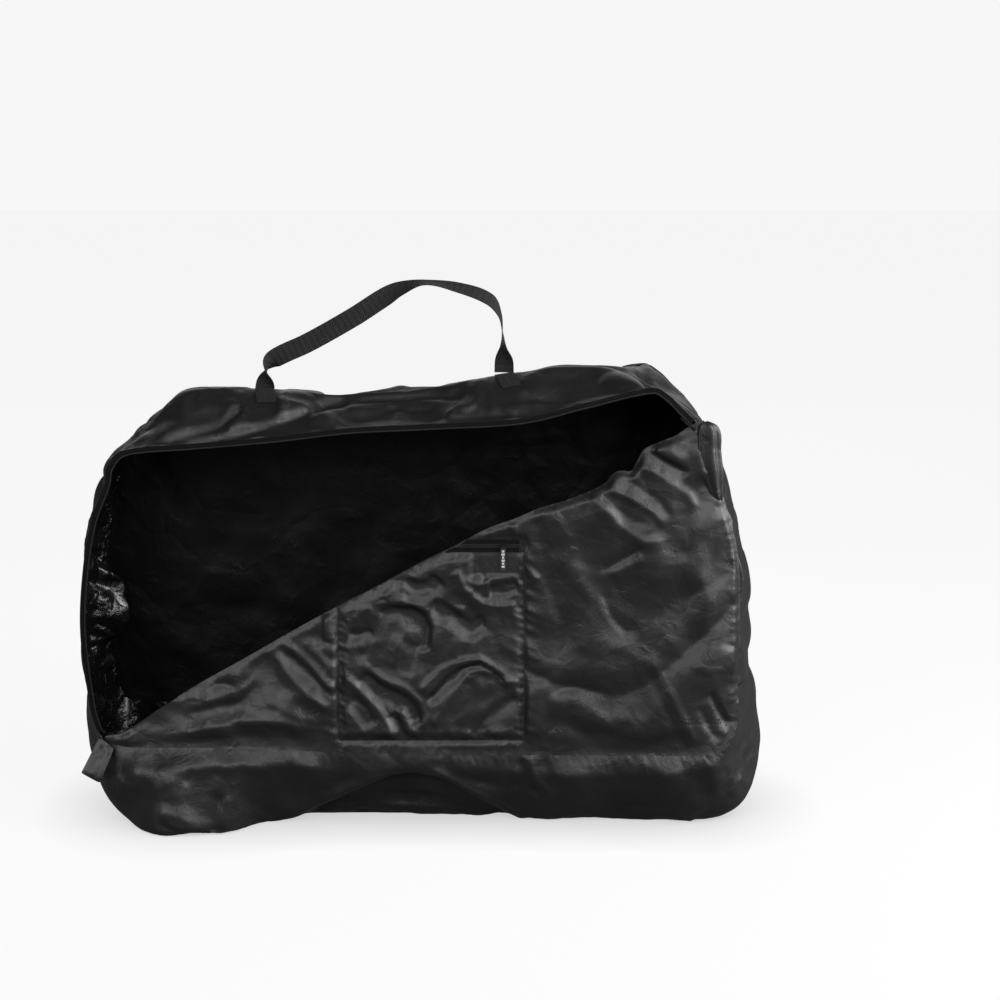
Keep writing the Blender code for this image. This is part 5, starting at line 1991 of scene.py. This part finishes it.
@dataclass
class Flap:
    """The unzipped part of the front, folded in three behind the fold."""

    finishes: Finishes
    rim: Rim
    inset: float = 0.0224
    cell: float = 0.012

    def build(self) -> None:
        """Make the pleats, their folds and the zip's half on them."""
        for pleat in PLEATS:
            self.build_cloth(pleat)
            self.build_zip(pleat)
        self.build_main_fold()
        self.build_inner_fold(
            "flap_middle_fold_strip", PLEATS[0], PLEATS[1], -PLEAT_LENGTH, -0.141, "flap_middle_fold_roll",
        )
        self.build_inner_fold("flap_tip_fold_strip", PLEATS[1], PLEATS[2], 0.0, -0.135, "flap_tip_fold_roll")

    def swell(self, along: Array, rest: Array, edge: Array) -> Array:
        """Return how far the hanging cloth bulges into the bag, the same for every pleat.

        Args:
            along: Distances along the fold line.
            rest: Distances above the fold line at rest.
            edge: Distances from the cloth's edge.

        Returns:
            One value for each point.
        """
        wave = Ripples(31, 0.07, 0.30, 26).at(along, rest * 0.8)
        facets = Crumple(33, 0.08, 0.28).at(along, rest)
        amount = 0.0045 + 0.0024 * wave + 0.0032 * facets
        fade = ramp(0.0, 0.035, -rest) * ramp(0.0, 0.035, PLEAT_LENGTH + rest) * ramp(0.0, 0.03, edge)
        return np.clip(amount, -0.0025, 0.013) * fade

    def build_cloth(self, pleat: Pleat) -> None:
        """Make a pleat's cloth.

        Args:
            pleat: The pleat.
        """
        line = fold_frame(OUTLINE.seam(self.rim.places, self.inset))
        low, high = pleat.low + PLEAT_GAP, pleat.low + PLEAT_LENGTH - PLEAT_GAP
        apex = int(line[:, 1].argmax())
        top = min(high, float(line[apex, 1]) - 0.0004)
        heights = np.linspace(low, top, 60)
        left = np.stack([self.rim.side(self.inset, heights, False), heights], axis=1)
        right = np.stack([self.rim.side(self.inset, heights, True), heights], axis=1)
        if pleat.number == 2:
            run = np.flatnonzero(line[:, 1] > low)
            polygon = line[run[0]: run[-1] + 1]
        else:
            polygon = np.vstack([left, right[::-1]])
        if pleat.number == 0:
            bottom = np.arange(right[0, 0], left[0, 0], -0.01)
            start = 0.024 - np.clip(FOLD_EDGE.at(bottom), -0.015, 0.015)
            keep = polygon[polygon[:, 1] > 0.026]
            polygon = np.vstack([keep, np.stack([bottom, start], axis=1)])
        obj = trimmed_sheet(pleat.name, polygon, 0.0, (self.cell, self.cell))
        refine(obj)
        flat = read_points(obj.data)[:, (0, 2)]
        edge, along = path_reading(flat, closed(polygon))
        rest = pleat.hang(flat[:, 0], flat[:, 1], np.zeros(len(flat)))
        below = fold_frame(rest[:, (0, 2)])[:, 1]
        out = self.swell(flat[:, 0], below, edge) * (-1.0 if pleat.number == 1 else 1.0)
        rim_left = np.abs(flat[:, 0] - self.rim.side(self.inset, flat[:, 1], False))
        rim_right = np.abs(flat[:, 0] - self.rim.side(self.inset, flat[:, 1], True))
        out += pucker(np.minimum(rim_left, rim_right), flat[:, 1] + along, 0.0012, 0.02, 35)
        write_points(obj.data, pleat.hang(flat[:, 0], flat[:, 1], out))
        self.face_out(obj, pleat)
        thicken(obj, self.finishes.outer, self.finishes.inner)
        sew_down(obj, pleat.body, Slot.NYLON, (pleat.name,))
        size = polygon.max(0) - polygon.min(0)

    @staticmethod
    def face_out(obj: Object, pleat: Pleat) -> None:
        """Turn a sheet's faces so that they point out of the closed flap.

        Args:
            obj: The piece.
            pleat: The pleat.
        """
        wanted = -1.0 if pleat.number == 1 else 1.0
        if read_normals(obj.data)[:, 1].mean() * wanted < 0:
            builder = bmesh.new()
            builder.from_mesh(obj.data)
            bmesh.ops.reverse_faces(builder, faces=builder.faces)
            builder.to_mesh(obj.data)
            builder.free()
            obj.data.update()

    def build_zip(self, pleat: Pleat) -> None:
        """Make the tape and the coil along a pleat's free edges.

        Args:
            pleat: The pleat.
        """
        low, high = pleat.low + PLEAT_GAP, pleat.low + PLEAT_LENGTH - PLEAT_GAP
        for part, first, last, thickness in FLAP_ZIP_PARTS:
            finish, slot = self.finishes.woven(part)
            sides = [fold_frame(OUTLINE.seam(self.rim.places, inset)) for inset in (first, last)]
            inside = (sides[0][:, 1] > low) & (sides[0][:, 1] < high)
            late = np.arange(len(inside)) > self.rim.apex
            inside &= ~(late & (sides[0][:, 1] < 0.038))
            runs = {"top": inside} if pleat.number == 2 else {"left": inside & ~late, "right": inside & late}
            for side, run in runs.items():
                edges = [pleat.hang(line[run, 0], line[run, 1], np.zeros(run.sum())) for line in sides]
                name = f"{pleat.name}_zip_{part}_{side}"
                obj = strip_piece(f"{name}_cloth", edges, finish, thickness, centred=True)
                sew_down(obj, pleat.body, slot, (name,))

    def build_main_fold(self) -> None:
        """Make the cloth that turns over between the front and the flap."""
        along = np.arange(FOLD_EDGE.along[0] + 0.004, FOLD_EDGE.along[-1], 0.005)
        edge = FOLD_EDGE.at(along)
        turns = np.linspace(0.0, math.pi, 9)
        profile = [(-0.0060, -0.1506, 0.0)]
        for turn in turns:
            tuck = turn / math.pi * 0.3
            profile.append((-0.003 + 0.003 * math.sin(turn), -0.147 - 0.0034 * math.cos(turn), tuck))
        profile += [(-0.012, -0.1436, 0.5), (-0.020, -0.1434, 0.8), (-0.028, -0.1432, 1.0)]
        middle, half = (along[0] + along[-1]) / 2, (along[-1] - along[0]) / 2
        rows = []
        for drop, y, tuck in profile:
            narrowed = middle + (along - middle) * (1 - 0.026 / half * tuck)
            flat = unfold(narrowed, edge + drop)
            rows.append(on_front(flat, y))
        obj = ruled_sheet("flap_fold_strip", np.array(rows))
        thicken(obj, self.finishes.outer, self.finishes.inner)
        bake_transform(obj)
        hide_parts("flap_lower_fold_roll")
        LOG.info("flap_fold_strip bends between the bag and the flap")

    def build_inner_fold(
        self, name: str, first: Pleat, second: Pleat, height: float, y: float, node: str,
    ) -> None:
        """Make the cloth that turns over between two pleats.

        Args:
            name: The piece's name.
            first: The pleat nearer the front.
            second: The pleat behind it.
            height: The fold's height above the fold line at rest.
            y: The fold's own depth.
            node: The CAD node that it stands for.
        """
        joint = np.array([second.low])
        left = float(self.rim.side(self.inset, joint, False)[0]) + 0.001
        right = float(self.rim.side(self.inset, joint, True)[0]) - 0.001
        along = np.arange(left, right, 0.012)
        sign = 1.0 if height == 0.0 else -1.0
        rows = [(-0.010 * sign, -0.003)] + [
            (0.0026 * math.sin(t) * sign, -0.003 * math.cos(t)) for t in np.linspace(0, math.pi, 7)
        ] + [(-0.010 * sign, 0.003)]
        lines = [on_front(unfold(along, np.full(len(along), height + up)), y + back) for up, back in rows]
        obj = ruled_sheet(name, np.array(lines))
        thicken(obj, self.finishes.outer, self.finishes.inner, 0.0006)
        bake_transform(obj)
        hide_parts(node)
        LOG.info("%s bends between %s and %s", name, first.body.value, second.body.value)


@dataclass
class MainZip:
    """The zip's half on the rim, the seams' bindings and the rim's stitching."""

    finishes: Finishes
    rim: Rim

    def build(self) -> None:
        """Make the tape, the coil, the bindings and the stitches."""
        places = self.rim.open_places()
        for part, first, last, y, thickness in (
            ("tape", 0.0, 0.009, -0.1502, 0.0008), ("coil", 0.0088, 0.0113, -0.1506, 0.0015),
        ):
            finish, slot = self.finishes.woven(part)
            edges = [on_front(OUTLINE.seam(places, inset), y) for inset in (first, last)]
            obj = strip_piece(f"rim_zip_{part}_cloth", edges, finish, thickness)
            sew_down(obj, Body.BAG, slot, (f"rim_zip_{part}",))
        self.bind("back_seam_binding", np.append(OUTLINE.whole(0.010), OUTLINE.knots[-1]), 0.1485)
        front = OUTLINE.between(OUTLINE.corners[3], OUTLINE.knots[-1] + OUTLINE.corners[1] - 0.115, 0.010)
        self.bind("front_seam_binding", front, -0.1485)
        for inset in (0.0022, 0.0066):
            path = on_front(OUTLINE.seam(places, inset), -0.1504)
            row = stitches(f"rim_stitching_{round(inset * 10000)}", path, self.finishes.thread)
            sew_down(row, Body.BAG, Slot.NYLON, ())
        right = OUTLINE.between(OUTLINE.corners[3] + 0.04, OUTLINE.corners[4], 0.010)
        for name, run, y in (
            ("front_seam_stitching", right, -0.1508),
            ("back_seam_stitching", OUTLINE.whole(0.010), 0.1505),
        ):
            row = stitches(name, on_front(OUTLINE.seam(run, 0.0035), y), self.finishes.thread)
            sew_down(row, Body.BAG, Slot.NYLON, ())

    def bind(self, node: str, places: Array, y: float) -> None:
        """Make the tape that binds a seam inside the bag.

        Args:
            node: The CAD node.
            places: Distances round the bag.
            y: The tape's depth, as y.
        """
        edges = [on_front(OUTLINE.seam(places, inset), y) for inset in (0.002, 0.014)]
        # The binding takes the inside cloth, whose dark colour is partly painted shade.
        obj = strip_piece(f"{node}_tape", edges, self.finishes.inner, 0.0008, centred=True)
        sew_down(obj, Body.BAG, Slot.TAPE, (node,))


@dataclass
class Pocket:
    """The zipped pocket on the front, and the corner of it that folds in with the flap."""

    finishes: Finishes
    cloth_top: float = 0.5575
    layer: float = 0.0016
    bulge: float = 0.0066

    def polygon(self) -> Array:
        """Return the outline of the pocket's cloth below the fold.

        Returns:
            One (x, z) row for each point.
        """
        fold = FOLD_EDGE.points(0.005)
        kept = fold[(fold[:, 0] > POCKET_LEFT) & (fold[:, 1] < self.cloth_top)]
        kept = kept[kept[:, 0] < POCKET_RIGHT - 0.02]
        first = np.array([(POCKET_LEFT, np.interp(POCKET_LEFT, fold[:, 0], fold[:, 1]))])
        top_x = np.interp(self.cloth_top, kept[:, 1], kept[:, 0])
        top = np.array([(top_x, self.cloth_top), (POCKET_RIGHT, self.cloth_top)])
        bottom = np.array([(POCKET_RIGHT, POCKET_BOTTOM), (POCKET_LEFT, POCKET_BOTTOM)])
        return np.vstack([first, kept, top, bottom])

    def build(self) -> None:
        """Make the pocket, its zip and its stitching."""
        self.build_cloth()
        self.build_zip()
        self.build_corner()
        self.build_fold()
        self.build_mark()

    def build_cloth(self) -> None:
        """Make the pocket's cloth below the fold."""
        polygon = self.polygon()
        y = FRONT_Y - self.layer
        obj = trimmed_sheet("pocket_panel", polygon, y, (0.00612, 0.0061), (POCKET_LEFT, POCKET_BOTTOM))
        held = border_mask(obj.data).astype(float)
        Drape(slack=0.05, seed=14, start=0.002).settle(obj, held)
        refine(obj)
        points = read_points(obj.data)
        flat = points.copy()
        flat[:, 1] = FRONT_Y
        edge, along = path_reading(points[:, (0, 2)], closed(polygon))
        near = ramp(0.0, 0.022, edge)
        zone = np.hypot(
            np.maximum(np.abs(points[:, 0] - PULL_MIDDLE) - PULL_REACH, 0.0),
            np.maximum(np.abs(points[:, 2] - 0.545) - 0.03, 0.0),
        )
        calm = ramp(0.0, 0.016, zone)
        out = np.abs(points[:, 1] - y)
        amount = self.bulge + Relief(POCKET_CREASES, 0.9, 1.7).at(flat) + 0.45 * out
        amount += Crumple(184, 0.04, 0.12).at(points[:, 0], points[:, 2]) * 0.0022
        amount = (amount + np.sqrt(amount**2 + 0.0012**2)) / 2
        ceiling = 0.0010 + 0.6 * zone
        amount = amount * near
        amount = (amount + ceiling - np.sqrt((amount - ceiling) ** 2 + 0.0015**2)) / 2
        amount += (pucker(edge, along, 0.0008, 0.016, 16) + 0.0004) * ramp(0.0, 0.006, edge) * calm
        points[:, 1] = y - np.maximum(amount, 0.0) - seam_roll(points)
        write_points(obj.data, points)
        thicken(obj, self.finishes.outer, self.finishes.inner)
        sew_down(obj, Body.BAG, Slot.NYLON, ("pocket_panel",))
        fold = FOLD_EDGE.points()
        for number, inset in enumerate((0.0018, 0.0078)):
            left, right, low = POCKET_LEFT + inset, POCKET_RIGHT - inset, POCKET_BOTTOM + inset
            start = float(np.interp(left, fold[:, 0], fold[:, 1])) - 0.004
            flat = np.array([(left, start), (left, low), (right, low), (right, self.cloth_top + 0.02)])
            path = on_front(flat, y - 0.0007)
            row = stitches(f"pocket_stitching_{number}", path, self.finishes.thread, width=0.0009)
            sew_down(lay_on_front(row), Body.BAG, Slot.NYLON, ())

    def zip_strips(self, prefix: str, body: Body, edge: Callable[[float], Array]) -> None:
        """Make the tapes and coils of one stretch of the pocket's zip.

        Args:
            prefix: What the pieces' names begin with.
            body: The body that they ride on.
            edge: Gives the points of a line along the zip at a height.
        """
        for half, sign in (("upper", 1.0), ("lower", -1.0)):
            for part, near, far, thickness in ZIP_PARTS:
                finish, slot = self.finishes.woven(part)
                name = f"{prefix}_zip_{half}_{part}"
                edges = [edge(POCKET_ZIP_Z + sign * distance) for distance in (near, far)]
                if body is Body.BAG and sign < 0:
                    edges.reverse()
                obj = strip_piece(f"{name}_cloth", edges, finish, thickness, centred=True)
                sew_down(obj, body, slot, (name,))

    def build_zip(self) -> None:
        """Make the pocket zip's tapes and coils below the fold."""
        fold = FOLD_EDGE.points()

        def edge(z: float) -> Array:
            """Return the line at a height, from the fold to the zip's right end."""
            start = float(np.interp(z, fold[:, 1], fold[:, 0])) + 0.002
            return on_front(np.stack([np.linspace(start, 0.191, 30), np.full(30, z)], axis=1), POCKET_ZIP_Y)

        self.zip_strips("pocket", Body.BAG, edge)

    def build_corner(self) -> None:
        """Make the corner of the pocket and of its zip that hang behind the fold."""
        pleat = PLEATS[0]
        slope = math.tan(FOLD_SLOPE)
        corner_z = FOLD_START[1] + (POCKET_LEFT - FOLD_START[0]) * slope + 0.026 / math.cos(FOLD_SLOPE)
        top = self.cloth_top
        corner_x = POCKET_LEFT + (top - corner_z) / slope
        polygon = fold_frame(np.array([(POCKET_LEFT, corner_z), (POCKET_LEFT, top), (corner_x, top)]))
        obj = trimmed_sheet("flap_pocket_corner", polygon, 0.0, (0.006, 0.006))
        flat = read_points(obj.data)[:, (0, 2)]
        edge, _ = path_reading(flat, closed(polygon))
        write_points(obj.data, pleat.hang(flat[:, 0], flat[:, 1], 0.0016 + 0.003 * ramp(0.0, 0.03, edge)))
        Flap.face_out(obj, pleat)
        thicken(obj, self.finishes.outer, self.finishes.inner)
        sew_down(obj, pleat.body, Slot.NYLON, ("flap_pocket_corner",))

        def edge(z: float) -> Array:
            """Return the line at a height, from the pocket's left side to the fold.

            Args:
                z: The height.

            Returns:
                One value for each point.
            """
            across = np.linspace(POCKET_LEFT + 0.012, POCKET_LEFT + (z - corner_z) / slope, 20)
            framed = fold_frame(np.stack([across, np.full(20, z)], axis=1))
            return pleat.hang(framed[:, 0], framed[:, 1], np.full(20, 0.0022))

        self.zip_strips("flap_pocket", pleat.body, edge)

    def build_fold(self) -> None:
        """Make the pocket's own cloth where it turns over the fold."""
        edge_points = FOLD_EDGE.points(0.005)
        inside = (edge_points[:, 0] > POCKET_LEFT) & (edge_points[:, 1] < POCKET_ZIP_Z + 0.012)
        inside &= edge_points[:, 0] < POCKET_RIGHT - 0.02
        along = fold_frame(edge_points[inside])[:, 0]
        edge = FOLD_EDGE.at(along)
        turns = np.linspace(0.0, math.pi, 9)
        profile = [(-0.0065, -0.1520)]
        profile += [(-0.003 + 0.0044 * math.sin(t), -0.147 - 0.0049 * math.cos(t)) for t in turns]
        profile += [(-0.012, -0.1420), (-0.024, -0.1420)]
        rows = np.array([on_front(unfold(along, edge + drop), y) for drop, y in profile])
        obj = ruled_sheet("pocket_fold_strip", rows)
        thicken(obj, self.finishes.outer, self.finishes.inner)
        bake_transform(obj)
        LOG.info("pocket_fold_strip bends between the bag and the flap")

    def build_mark(self) -> None:
        """Put a plain pale moulded mark on the pocket's pull."""
        low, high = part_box("pocket_zip_pull")
        middle = (low.x + high.x) / 2
        builder = bmesh.new()
        for share, width in (
            (0.18, 0.0060), (0.30, 0.0044), (0.42, 0.0062), (0.54, 0.0040), (0.66, 0.0062), (0.78, 0.0050),
        ):
            z = low.z + (high.z - low.z) * share
            place = Matrix.Translation((middle, low.y - 0.0001, z))
            size = Matrix.Diagonal((width, 0.0005, 0.0040, 1.0))
            bmesh.ops.create_cube(builder, size=1.0, matrix=place @ size)
        obj = new_object("pull_mark", builder, smooth=False)
        obj.data.materials.append(self.finishes.mark)
        sew_down(obj, Body.POCKET_PULL, Slot.PULL, ())


HANDLE_PATH_SHARES = (
    (0.000, 0.000, 0.0), (0.003, 0.100, 40.0), (0.012, 0.200, 100.0), (0.040, 0.300, 165.0),
    (0.186, 0.452, 180.0), (0.373, 0.685, 182.0), (0.500, 0.870, 200.0), (0.568, 0.952, 230.0),
    (0.672, 1.000, 262.0), (0.818, 0.917, 246.0), (0.940, 0.778, 240.0), (0.983, 0.607, 262.0),
    (0.994, 0.420, 272.0), (0.998, 0.260, 290.0), (1.000, 0.120, 340.0), (1.000, 0.000, 360.0),
)


@dataclass
class Handle:
    """The webbing handle, its sewn-down ends and the tab at the zip's lower end."""

    finishes: Finishes
    width: float = 0.038
    thickness: float = 0.0018
    rise: float = 0.188
    feet: Tuple[Point, Point] = ((-0.310, 0.85424), (0.162, 0.88537))

    def build(self) -> None:
        """Make the loop and its ends."""
        self.build_loop()
        for name, x in zip(("handle_tail_left", "handle_tail_right"), HANDLE_FEET):
            self.build_tail(name, x)

    def build_loop(self) -> None:
        """Make the loop of webbing."""
        shares = np.array(HANDLE_PATH_SHARES)
        start, end = np.array(self.feet)
        centre = start + (end - start) * shares[:, :1]
        centre[:, 1] += self.rise * shares[:, 1]
        knots = walked(centre)
        marks = np.linspace(0.0, knots[-1], 150)
        knot_rows = np.column_stack([centre, np.radians(shares[:, 2])])
        path = smooth_read(knots, knot_rows, np.minimum(marks, knots[-1] - 1e-9))
        heading = np.gradient(path[:, :2], axis=0)
        heading[0], heading[-1] = (0.0, 1.0), (0.0, -1.0)
        heading /= np.linalg.norm(heading, axis=1)[:, None]
        turn = path[:, 2]
        side = np.stack([-heading[:, 1] * np.cos(turn), np.sin(turn), heading[:, 0] * np.cos(turn)], axis=1)
        line = on_front(path[:, :2], 0.0)
        face = np.cross(on_front(heading, 0.0), side)
        rows = []
        for share in np.linspace(-1.0, 1.0, 9):
            cup = 0.0012 * (1.0 - share**2) * np.sin(marks / knots[-1] * math.pi)
            rows.append(line + side * (share * self.width / 2) + face * cup[:, None])
        obj = ruled_sheet("handle_webbing", np.array(rows))
        self.weave(obj, 0.0)
        sew_down(obj, Body.HANDLE, Slot.WEBBING, ("handle_loop",))

    def weave(self, obj: Object, side: float) -> None:
        """Give a strip the webbing's finish and thickness.

        Args:
            obj: The strip.
            side: Where its thickness goes: -1 inward, 0 to both sides.
        """
        obj.data.materials.append(self.finishes.webbing)
        modifier = obj.modifiers.new("Thickness", "SOLIDIFY")
        modifier.thickness, modifier.offset = self.thickness, side
        bake(obj)

    def build_tail(self, node: str, x: float) -> None:
        """Make one end of the webbing, sewn flat on the roof in front of the ridge.

        Args:
            node: The CAD node.
            x: The middle of the end, as x.
        """
        places = OUTLINE.between(OUTLINE.corners[2], OUTLINE.corners[3], 0.002)
        middles = OUTLINE.read(places)[:, 2]
        ends = np.interp((x - self.width / 2, x + self.width / 2), middles, places)
        grid = gusset_grid(np.linspace(*ends, 8), np.linspace(3.95, 5.92, 14), 1.4, False)
        grid[..., 2] += 0.0025
        obj = ruled_sheet(f"{node}_webbing", grid)
        self.weave(obj, -1.0)
        sew_down(obj, Body.BAG, Slot.WEBBING, (node,))
        inner = grid[2:-2, 1:-1] + np.array((0.0, -0.0002, 0.0003))
        box = np.vstack([inner[0], inner[:, -1], inner[-1][::-1], inner[::-1, 0], [inner[0, 0]]])
        cross, other = inner[(0, -1), (0, -1)], inner[(0, -1), (-1, 0)]
        rows = [stitches(f"{node}_row_{number}", path, self.finishes.thread, 0.004, 0.0009)
                for number, path in enumerate((box, cross, other))]
        row = joined(f"{node}_stitching", rows)
        row.data.materials.append(self.finishes.thread)
        sew_down(row, Body.BAG, Slot.WEBBING, ())

    def build_end_tab(self) -> None:
        """Make the doubled cloth tab at the lower end of the main zip."""
        shares = np.array(((-0.42, 0.02), (-1.02, -0.76), (-0.36, -1.0), (0.10, -0.24)))
        polygon = np.array((-0.612, 0.181)) + shares * np.array((0.056, 0.083))
        obj = trimmed_sheet("zip_end_tab_cloth", polygon, -0.1522, (0.004, 0.004))
        points = read_points(obj.data)
        edge, _ = path_reading(points[:, (0, 2)], closed(polygon))
        waves = Ripples(51, 0.02, 0.06, 8).at(points[:, 0], points[:, 2])
        points[:, 1] -= 0.0016 * ramp(0.0, 0.006, edge)
        points[:, 1] -= 0.0012 * waves * ramp(0.0, 0.01, edge)
        points[:, 1] -= 0.030 * ramp(0.185, 0.10, points[:, 2])
        write_points(obj.data, points)
        refine(obj)
        thicken(obj, self.finishes.outer, self.finishes.outer, 0.0014)
        sew_down(obj, Body.BAG, Slot.NYLON, ("zip_end_tab",))


def dress_hard_pieces(finishes: Finishes) -> None:
    """Give the sliders, pulls and stops their finishes.

    Args:
        finishes: The materials.
    """
    for names, finish in (
        (("main_zip_slider", "main_zip_pull", "pocket_zip_slider"), finishes.metal),
        (("pocket_zip_pull",), finishes.pull),
        (("main_zip_stop_upper", "main_zip_stop_lower", "pocket_zip_stop"), finishes.coil),
    ):
        for name in names:
            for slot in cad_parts[name].material_slots:
                slot.material = finish
            LOG.info("%s keeps its shape", name)


class Studio:
    """Floor, backdrop, lamps and camera."""

    def build(self) -> None:
        """Make the studio."""
        VIEW.make_camera()
        self.floor()
        self.world()
        self.lamp("left_softbox", (-2.4, -2.8, 2.0), (0.0, 0.0, 0.45), (2.2, 2.2), 56.0)
        self.lamp("right_softbox", (3.0, -0.8, 1.7), (0.1, 0.0, 0.45), (1.8, 2.4), 160.0)
        self.lamp("front_softbox", (2.0, -3.4, 2.2), (0.1, 0.0, 0.45), (1.6, 2.2), 50.0)
        self.lamp("high_softbox", (0.0, -4.4, 3.0), (0.0, 0.0, 0.4), (5.0, 2.0), 76.0)
        self.lamp("top_softbox", (0.1, -1.4, 3.2), (0.0, 0.0, 0.4), (2.4, 1.2), 10.0)
        self.lamp("rear_wall", (0.0, 4.6, 2.0), (0.0, 0.1, 0.45), (5.0, 2.6), 40.0)
        self.lamp("rear_softbox", (-0.1, 2.2, 0.42), (0.0, 0.1, 0.42), (0.9, 0.7), 14.0)

    @staticmethod
    def lamp(name: str, place: Triple, aim: Triple, size: Point, power: float) -> None:
        """Add a rectangular lamp.

        Args:
            name: Its name.
            place: Where it hangs.
            aim: Where it shines.
            size: Its width and height.
            power: Its power in watts.
        """
        data = bpy.data.lights.new(name, "AREA")
        data.shape, data.size, data.size_y = "RECTANGLE", *size
        data.energy = power
        obj = bpy.data.objects.new(name, data)
        obj.location = place
        obj.rotation_euler = (Vector(aim) - Vector(place)).to_track_quat("-Z", "Y").to_euler()
        bpy.context.scene.collection.objects.link(obj)

    def floor(self) -> None:
        """Make the pale sweep that the bag stands on, with a painted contact shadow round the bag."""
        builder = bmesh.new()
        bmesh.ops.create_grid(builder, x_segments=1, y_segments=1, size=14.0)
        obj = new_object("studio_floor", builder)
        shader = Shader("studio_floor")
        camera = shader.node("ShaderNodeLightPath", {}, {}, "Is Camera Ray")
        seen = camera + shader.node("ShaderNodeLightPath", {}, {}, "Is Glossy Ray") * 0.13
        matte = shader.node("ShaderNodeBsdfDiffuse", {}, {"Color": (0.055, 0.055, 0.055, 1.0)})
        # Ambient occlusion darkens the floor's glow near the bag: a painted contact shadow.
        ao_painted_shadow = shader.node("ShaderNodeAmbientOcclusion", {"samples": 8}, {"Distance": 0.16}, "AO")
        tone = shader.blend_colour(ao_painted_shadow, (0.62, 0.62, 0.62), (1.0, 1.0, 1.0))
        glow = shader.node("ShaderNodeEmission", {}, {"Color": tone, "Strength": 0.905})
        both = shader.node("ShaderNodeAddShader", {}, {0: matte, 1: glow})
        shader.show(shader.node("ShaderNodeMixShader", {}, {0: seen, 1: matte, 2: both}))
        obj.data.materials.append(shader.material)

    def world(self) -> None:
        """Light the world plainly, and show it to the camera as the backdrop."""
        world = bpy.data.worlds.new("studio")
        world.use_nodes = True
        bpy.context.scene.world = world
        tree = world.node_tree
        tree.nodes.clear()
        path = tree.nodes.new("ShaderNodeLightPath")
        mix = tree.nodes.new("ShaderNodeMixShader")
        output = tree.nodes.new("ShaderNodeOutputWorld")
        tree.links.new(path.outputs["Is Camera Ray"], mix.inputs[0])
        for number, (tone, strength) in enumerate(((1.0, 0.05), (0.93, 1.0)), start=1):
            light = tree.nodes.new("ShaderNodeBackground")
            light.inputs["Color"].default_value = (tone, tone, tone, 1.0)
            light.inputs["Strength"].default_value = strength
            tree.links.new(light.outputs[0], mix.inputs[number])
        tree.links.new(mix.outputs[0], output.inputs["Surface"])


def main() -> None:
    """Build the bag and its studio."""
    logging.basicConfig(level=logging.INFO, format="%(message)s")
    bpy.context.scene.view_settings.view_transform = "Standard"
    finishes = Finishes()
    rim = Rim()
    panels = Panels(finishes)
    panels.build_front()
    panels.build_corner_roll()
    panels.build_back()
    base = Drape(slack=0.012, seed=5)
    left, top, right = (Drape(slack=0.010, seed=seed) for seed in (6, 7, 9))
    for gusset in (
        Gusset("base_gusset", 0, finishes, on_floor=True, rows=50, relief=BASE_CREASES, drape=base),
        Gusset("left_gusset", 1, finishes, drape=left),
        Gusset("top_gusset", 2, finishes, power=1.4, relief=TOP_CREASES, gain=1.3, drape=top),
        Gusset("right_gusset", 3, finishes, drape=right),
    ):
        gusset.build()
    Flap(finishes, rim).build()
    MainZip(finishes, rim).build()
    Pocket(finishes).build()
    handle = Handle(finishes)
    handle.build()
    handle.build_end_tab()
    dress_hard_pieces(finishes)
    Studio().build()


if __name__ == "__main__":
    main()
